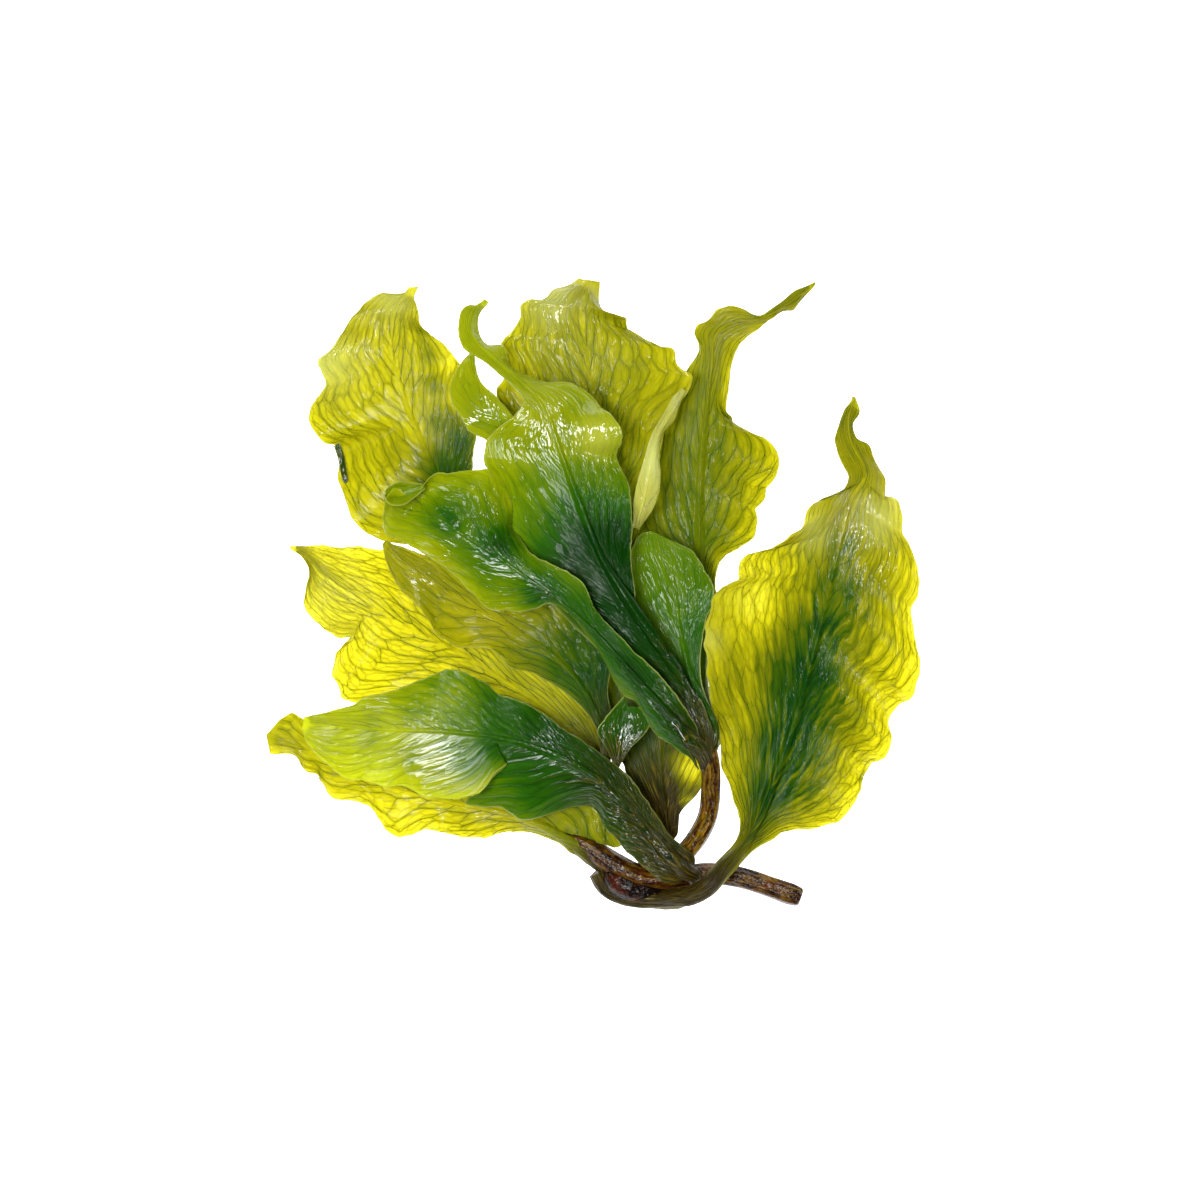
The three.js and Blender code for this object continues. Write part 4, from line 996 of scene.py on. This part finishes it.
# Palettes, from thin tissue to thick
YELLOW_KELP = [
    [0, "#EEEA3C"], [0.18, "#DDD61A"], [0.38, "#B0AE0E"], [0.56, "#7C860A"], [0.76, "#3F6206"],
    [1, "#12400A"],
]
GREEN_KELP = [[0, "#E2EA1C"], [0.25, "#B2BE08"], [0.5, "#6A8C04"], [0.74, "#2A6004"], [1, "#073402"]]
BASE_BROWN = [[0.36, "#0A0502"], [0.46, "#241808"], [0.56, "#443A0E"], [0.66, "#6E6018"]]
STALK_BROWN = [
    [0, "#100602"], [0.25, "#2E1404"], [0.45, "#4E3006"], [0.65, "#685008"], [0.85, "#84640A"],
    [1, "#A07C14"],
]
MATERIALS = {
    # Thin young tissue: much light comes through, so it glows yellow and shows its veins
    "blade_yellow": blade_material("wet_thin_yellow_kelp", YELLOW_KELP, 0.7, 0.1, 3.1),
    # A broad blade that thickens down its middle: dark green there, yellow and glowing at the margin, streaky
    "blade_right": blade_material("wet_yellow_kelp_with_green_middle", YELLOW_KELP, 0.7, 0.32, 7.7),
    # Older tissue of middling thickness: olive, with soft streaks along the veins
    "blade_olive": blade_material("wet_olive_kelp", YELLOW_KELP, 0.68, 0.14, 11.3),
    # The thickest tissue: hardly any light comes through, so it is dark and its slime shows most
    "blade_dark": blade_material("wet_thick_green_kelp", GREEN_KELP, 0.55, 0.08, 15.9),
    # Tough round stalks: no light comes through, and the gloss breaks up on their ridges
    "stem": stem_material(),
}


# Veins: the borders between long irregular cells, thick at the base and thin at the margin
VEIN_SMOOTHING = 7
CROSS_VEIN = 0.6  # radius of a vein that runs across, against one that runs along
VEIN_WANDER = 0.9
WANDER_SIZE = (5, 9)
LAST_VEIN = 0.985  # veins end this far towards the margin and the tip
NEWTON_STEPS = 5
THIN_OUTWARD = 0.7
THIN_UPWARD = 0.5
PALE_OUTWARD = 0.6
CELL_JITTER = 0.4
VEIN_ORDERS = [
    {"spacing": 3.2, "length": 11, "radius": 0.26, "tip_radius": 0.15, "shade": 0.8, "sides": 4, "steps": 7},
    {"spacing": 1.7, "length": 4, "radius": 0.17, "tip_radius": 0.13, "shade": 0.25, "sides": 3, "steps": 3},
]


def cell_borders(width, length, order, seed):
    """Borders between irregular cells over a rectangle: their corners, and which corners are joined."""
    rng = np.random.default_rng(seed)
    cell = np.array([order["spacing"], order["length"]])
    columns, rows = (np.array([width, length]) / cell).astype(int) + 3
    column, row = np.meshgrid(np.arange(columns), np.arange(rows))
    seeds = np.stack([column + 0.5 * (row % 2), row], axis=2).reshape(-1, 2).astype(float)
    seeds += rng.uniform(-CELL_JITTER, CELL_JITTER, seeds.shape)
    triangles = delaunay_2d_cdt([Vector(point) for point in seeds], [], [], 0, 1e-6)[2]
    a, b, c = (seeds[[triangle[i] for triangle in triangles]] for i in range(3))
    cross = 2 * ((b[:, 0] - a[:, 0]) * (c[:, 1] - a[:, 1]) - (b[:, 1] - a[:, 1]) * (c[:, 0] - a[:, 0]))
    ab = ((b - a) ** 2).sum(axis=1)
    ac = ((c - a) ** 2).sum(axis=1)
    across = a[:, 0] + ((c - a)[:, 1] * ab - (b - a)[:, 1] * ac) / cross
    lengthwise = a[:, 1] + ((b - a)[:, 0] * ac - (c - a)[:, 0] * ab) / cross
    owner = {}
    joined = []
    for number, triangle in enumerate(triangles):
        for i in range(3):
            side = frozenset((triangle[i], triangle[i - 1]))
            if side in owner:
                joined.append((owner[side], number))
            owner[side] = number
    corners = np.stack([across - 1, lengthwise - 1], axis=1) * cell
    return corners, np.array(joined)


def wandering(corners, joined, steps, seed):
    """The borders cut into short steps and smoothed, so that they run like veins."""
    parts = np.linspace(0, 1, steps + 1)[1:-1]
    start, end = corners[joined[:, 0]], corners[joined[:, 1]]
    between = start[:, None] + (end - start)[:, None] * parts[None, :, None]
    first = len(corners) + np.arange(len(joined))[:, None] * len(parts) + np.arange(len(parts))[None, :]
    chain = np.concatenate([joined[:, :1], first, joined[:, 1:]], axis=1)
    edges = np.stack([chain[:, :-1], chain[:, 1:]], axis=2).reshape(-1, 2)
    points = np.concatenate([corners, between.reshape(-1, 2)])
    count = np.bincount(edges.ravel(), minlength=len(points))[:, None]
    for _ in range(VEIN_SMOOTHING):
        total = np.zeros_like(points)
        np.add.at(total, edges[:, 0], points[edges[:, 1]])
        np.add.at(total, edges[:, 1], points[edges[:, 0]])
        points += 0.5 * np.where(count > 1, total / np.maximum(count, 1) - points, 0)
    wander = lattice_noise(points[:, 0] / WANDER_SIZE[0], points[:, 1] / WANDER_SIZE[1], seed)
    points[:, 0] += VEIN_WANDER * wander
    return points, edges


def sampled(grid, row, line):
    """Values of a grid at fractional rows and lines."""
    i = np.clip(np.floor(row).astype(int), 0, grid.shape[0] - 2)
    j = np.clip(np.floor(line).astype(int), 0, grid.shape[1] - 2)
    fi, fj = row - i, line - j
    if grid.ndim == 3:
        fi, fj = fi[:, None], fj[:, None]
    low = grid[i, j] * (1 - fj) + grid[i, j + 1] * fj
    high = grid[i + 1, j] * (1 - fj) + grid[i + 1, j + 1] * fj
    return low * (1 - fi) + high * fi


def vein_paths(name, tissue, blade, surface, order, seed):
    """The veins of one order on a blade, as edges in its tissue with how thick they are, and their points."""
    travelled = surface["travelled"]
    length = travelled[-1]
    count, lines = surface["flow"].shape
    started = np.interp(blade.blade_start, surface["rows"], travelled)
    all_points = []
    all_edges = []
    all_values = []
    total = 0
    for side in (-1, 1):
        width = surface["half_width"] + tissue["fan"] * (length - started)
        corners, joined = cell_borders(width, length, order, seed + side)
        points, edges = wandering(corners, joined, order["steps"], seed + side)
        tau = points[:, 1] / length
        climbed = np.maximum(points[:, 1] - started, 0)
        share = (points[:, 0] - tissue["fan"] * (length - started - climbed)) / surface["half_width"]
        good = (share > 0) & (share < LAST_VEIN) & (points[:, 1] > started) & (tau < LAST_VEIN)
        edges = edges[good[edges[:, 0]] & good[edges[:, 1]]]
        used = np.unique(edges)
        renumber = np.zeros(len(points), int)
        renumber[used] = np.arange(len(used)) + total
        row = np.interp(points[used, 1], travelled, np.arange(count))
        narrow = np.interp(row, np.arange(count), surface["narrow"])
        v = share[used] * side
        even = v.copy()
        for _ in range(NEWTON_STEPS):
            value = even * (1 - narrow) + np.sin(even * math.pi / 2) * narrow - v
            even -= value / ((1 - narrow) + narrow * math.pi / 2 * np.cos(even * math.pi / 2) + 1e-6)
        line = (np.clip(even, -1, 1) + 1) / 2 * (lines - 1)
        step = points[edges[:, 1]] - points[edges[:, 0]]
        lengthwise = np.zeros(len(points))
        np.maximum.at(lengthwise, edges[:, 0], np.abs(step[:, 1]) / (np.linalg.norm(step, axis=1) + 1e-9))
        fade = np.clip(share[used] * THIN_OUTWARD + tau[used] * THIN_UPWARD, 0, 1)
        radius = order["radius"] + (order["tip_radius"] - order["radius"]) * fade
        radius = radius * (CROSS_VEIN + (1 - CROSS_VEIN) * lengthwise[used])
        all_points.append(sampled(surface["center"], row, line))
        all_edges.append(renumber[edges])
        values = {key: sampled(surface[key], row, line) for key in TISSUE_VALUES}
        darker = order["shade"] * tissue.get("veins", 1) * (1 - PALE_OUTWARD * share[used])
        values["shade"] = values["shade"] + darker
        values["thickness"] = radius * MM
        all_values.append(values)
        total += len(used)
    values = {key: np.concatenate([part[key] for part in all_values]) for key in all_values[0]}
    points = np.concatenate(all_points)
    edges = np.concatenate(all_edges)
    start, end = points[edges[:, 0]], points[edges[:, 1]]
    on_edges = np.concatenate([start * (1 - part) + end * part for part in (0, 1 / 3, 2 / 3)])
    return new_mesh(name, points * MM, [], values, edges=edges.tolist()), on_edges


def vein_tree():
    """A tree that turns edges into round veins, as thick as the points say."""
    tree = bpy.data.node_groups.new("veins_from_edges", "GeometryNodeTree")
    tree.interface.new_socket("Geometry", in_out="INPUT", socket_type="NodeSocketGeometry")
    tree.interface.new_socket("Sides", in_out="INPUT", socket_type="NodeSocketInt")
    tree.interface.new_socket("Material", in_out="INPUT", socket_type="NodeSocketMaterial")
    tree.interface.new_socket("Geometry", in_out="OUTPUT", socket_type="NodeSocketGeometry")
    given = add(tree, "NodeGroupInput", {})
    path = add(tree, "GeometryNodeMeshToCurve", {"Mesh": given["Geometry"]})["Curve"]
    thickness = add(tree, "GeometryNodeInputNamedAttribute", {"Name": "thickness"})["Attribute"]
    ring = add(tree, "GeometryNodeCurvePrimitiveCircle", {
        "Resolution": given["Sides"], "Radius": 1.0,
    })["Curve"]
    tube = add(tree, "GeometryNodeCurveToMesh", {
        "Curve": path, "Profile Curve": ring, "Scale": thickness,
    })["Mesh"]
    soft = add(tree, "GeometryNodeSetShadeSmooth", {"Geometry": tube})["Geometry"]
    real = add(tree, "GeometryNodeRealizeInstances", {"Geometry": soft})["Geometry"]
    done = add(tree, "GeometryNodeSetMaterial", {"Geometry": real, "Material": given["Material"]})["Geometry"]
    add(tree, "NodeGroupOutput", {"Geometry": done})
    return tree


def tubes(paths, tree, material, sides):
    """The paths as a plain mesh of tubes."""
    modifier = paths.modifiers.new("veins", "NODES")
    modifier.node_group = tree
    inputs = {item.name: item.identifier for item in tree.interface.items_tree if item.in_out == "INPUT"}
    modifier[inputs["Sides"]] = sides
    modifier[inputs["Material"]] = material
    made = paths.evaluated_get(bpy.context.evaluated_depsgraph_get())
    mesh = bpy.data.meshes.new_from_object(made)
    paths.modifiers.clear()
    paths.data = mesh
    return paths


# Stems, in millimetres
RING = 48
STEM_MEASURING_STEPS = 400
STEM_ROWS = 170
END_ROWS = 9
STEM_SIZE = 3  # the pattern goes round every stem as if it had this radius
STEM_RIDGE = 0.34
STEM_RIDGE_WIDTH = 1.2
KNOB_HEIGHT = 0.12
CUT_ROUNDING = 1.0


def stem_tube(name, points, darkness, seed):
    """A round stalk with ridges along it and rounded ends."""
    centers = [place(point) for point in points]
    fine = np.linspace(0, len(points) - 1, STEM_MEASURING_STEPS)
    travelled = travelled_along(smooth(centers, fine))
    length = travelled[-1]
    ends = CUT_ROUNDING * (1 - np.cos(np.linspace(0, math.pi / 2, END_ROWS)))
    between_ends = np.linspace(ends[-1], length - ends[-1], STEM_ROWS)
    wanted = np.concatenate([ends[:-1], between_ends, (length - ends[::-1])[1:]])
    index = np.interp(wanted, travelled, fine)
    center = smooth(centers, index)
    radius = np.interp(index, np.arange(len(points)), [point[3] for point in points])
    inset = np.minimum(np.minimum(wanted, length - wanted), CUT_ROUNDING) / CUT_ROUNDING
    radius = radius - CUT_ROUNDING * (1 - np.sqrt(np.maximum(0, 1 - (1 - inset) ** 2)))
    along = np.gradient(center, axis=0)
    along /= np.linalg.norm(along, axis=1, keepdims=True)
    side = np.stack([-along[:, 1], along[:, 0], 0 * along[:, 0]], axis=1)
    side /= np.linalg.norm(side, axis=1, keepdims=True)
    up = np.cross(along, side)
    turn = np.arange(RING) / RING * 2 * math.pi
    x, y = np.stack([np.cos(turn), np.sin(turn)])[:, None, :] * STEM_SIZE / STEM_RIDGE_WIDTH
    down = wanted[:, None]
    ridges = lattice_noise(x + down / 60, y + down / 45, seed)
    knobs = lattice_noise(x / 2 + down / 7, y / 2 + 9, seed + 1)
    size = radius[:, None] + (STEM_RIDGE * ridges + KNOB_HEIGHT * knobs) * (inset[:, None] > 0.2)
    rim = side[:, None, :] * np.cos(turn)[None, :, None] + up[:, None, :] * np.sin(turn)[None, :, None]
    tube = center[:, None, :] + rim * size[..., None]
    tube[..., 2] = np.maximum(tube[..., 2], 0)
    count = len(wanted)
    number = np.arange(count * RING).reshape(count, RING)
    following = np.roll(number, -1, axis=1)
    quads = np.stack([number[:-1], following[:-1], following[1:], number[1:]], axis=2).reshape(-1, 4).tolist()
    first = count * RING
    caps = [[first, following[0, i], number[0, i]] for i in range(RING)]
    caps += [[first + 1, number[-1, i], following[-1, i]] for i in range(RING)]
    points_out = np.concatenate([tube.reshape(-1, 3), center[:1], center[-1:]]) * MM
    flow = np.broadcast_to((turn * STEM_SIZE)[None, :], (count, RING)).ravel()
    distance = np.broadcast_to(wanted[:, None], (count, RING)).ravel()
    values = {
        "flow": np.concatenate([flow, [0, 0]]),
        "along": np.concatenate([distance, [0, length]]),
        "shade": np.full(len(flow) + 2, darkness),
    }
    return new_mesh(name, points_out, quads + caps, values)


def finished(piece, node, slot):
    """Gives a piece the slot's material, makes it move with the root, and hides the solid it stands for."""
    if not piece.data.materials:
        piece.data.materials.append(MATERIALS[slot])
    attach(piece, "root")
    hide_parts(node)


VEIN_TREE = vein_tree()
for seed, (name, points) in enumerate(STEMS.items()):
    skin = stem_tube(f"{name}_skin", points, STEM_DARKNESS.get(name, 0), seed)
    finished(skin, "stipe" if name == "knob" else name, "stem")

for seed, (name, tissue) in enumerate(BLADES.items(), 1):
    blade = Blade(tissue)
    surface = blade_surface(tissue, blade, 10 * seed)
    parts = []
    for size, order in zip(("main", "small"), VEIN_ORDERS):
        paths, points = vein_paths(f"{name}_{size}_veins", tissue, blade, surface, order, 10 * seed)
        parts.append(tubes(paths, VEIN_TREE, MATERIALS[tissue["slot"]], order["sides"]))
        if size == "main":
            swell(surface, points, tissue.get("veins", 1))
    parts.append(blade_sheet(f"{name}_tissue", surface, 10 * seed))
    for part in parts:
        finished(part, tissue.get("node", name), tissue["slot"])

# Floor: matt white paper, lit up so that it photographs as plain white and hardly holds a shadow
FLOOR_REACH = 3
FLOOR_GAP = 0.02
FLOOR_LIGHT = 1.85
ROOM_LIGHT = 0.03
corners = [(-FLOOR_REACH, -FLOOR_REACH, 0), (FLOOR_REACH, -FLOOR_REACH, 0)]
corners += [(FLOOR_REACH, FLOOR_REACH, 0), (-FLOOR_REACH, FLOOR_REACH, 0)]
floor_mesh = bpy.data.meshes.new("floor")
floor_mesh.from_pydata(corners, [], [(0, 1, 2, 3)])
floor = bpy.data.objects.new("floor", floor_mesh)
bpy.context.scene.collection.objects.link(floor)
floor.location.z = -FLOOR_GAP * MM
floor_material, floor_tree = new_material("matt_white_paper")
paper = add(floor_tree, "ShaderNodeBsdfDiffuse", {"Color": (0.92, 0.92, 0.92, 1)})["BSDF"]
lit = add(floor_tree, "ShaderNodeEmission", {"Color": (1, 1, 1, 1), "Strength": FLOOR_LIGHT})["Emission"]
paper = add(floor_tree, "ShaderNodeAddShader", {0: paper, 1: lit})["Shader"]
add(floor_tree, "ShaderNodeOutputMaterial", {"Surface": paper})
floor_mesh.materials.append(floor_material)

world = bpy.data.worlds.new("white_room")
world.use_nodes = True
world.node_tree.nodes["Background"].inputs["Color"].default_value = (1, 1, 1, 1)
world.node_tree.nodes["Background"].inputs["Strength"].default_value = ROOM_LIGHT
bpy.context.scene.world = world


def softbox(name, place_at, size, power):
    """A square light that faces the frond."""
    light = bpy.data.lights.new(name, "AREA")
    light.size = size
    light.energy = power
    lamp = bpy.data.objects.new(name, light)
    lamp.location = place_at
    lamp.rotation_euler = (-Vector(place_at)).to_track_quat("-Z", "Y").to_euler()
    bpy.context.scene.collection.objects.link(lamp)


# Where each light stands and its size are in metres, its power in watts
softbox("back_softbox", (0.25, 0.95, 1.3), 0.3, 7)
softbox("left_softbox", (-0.45, 0.0, 1.5), 0.5, 20)
softbox("front_softbox", (0.1, -0.75, 1.5), 0.3, 7)

# The camera looks straight down from the height that the outlines were placed for
camera_data = bpy.data.cameras.new("camera")
camera_data.sensor_width = 36
camera_data.lens = camera_data.sensor_width * VIEW_HEIGHT / (2 * PICTURE_CENTER * POINT)
camera = bpy.data.objects.new("camera", camera_data)
camera.location = (
    (PICTURE_CENTER - FROND_CENTER_ACROSS) * POINT * MM,
    (FROND_CENTER_DOWN - PICTURE_CENTER) * POINT * MM,
    VIEW_HEIGHT * MM,
)
bpy.context.scene.collection.objects.link(camera)
bpy.context.scene.camera = camera
bpy.context.scene.view_settings.view_transform = "Standard"
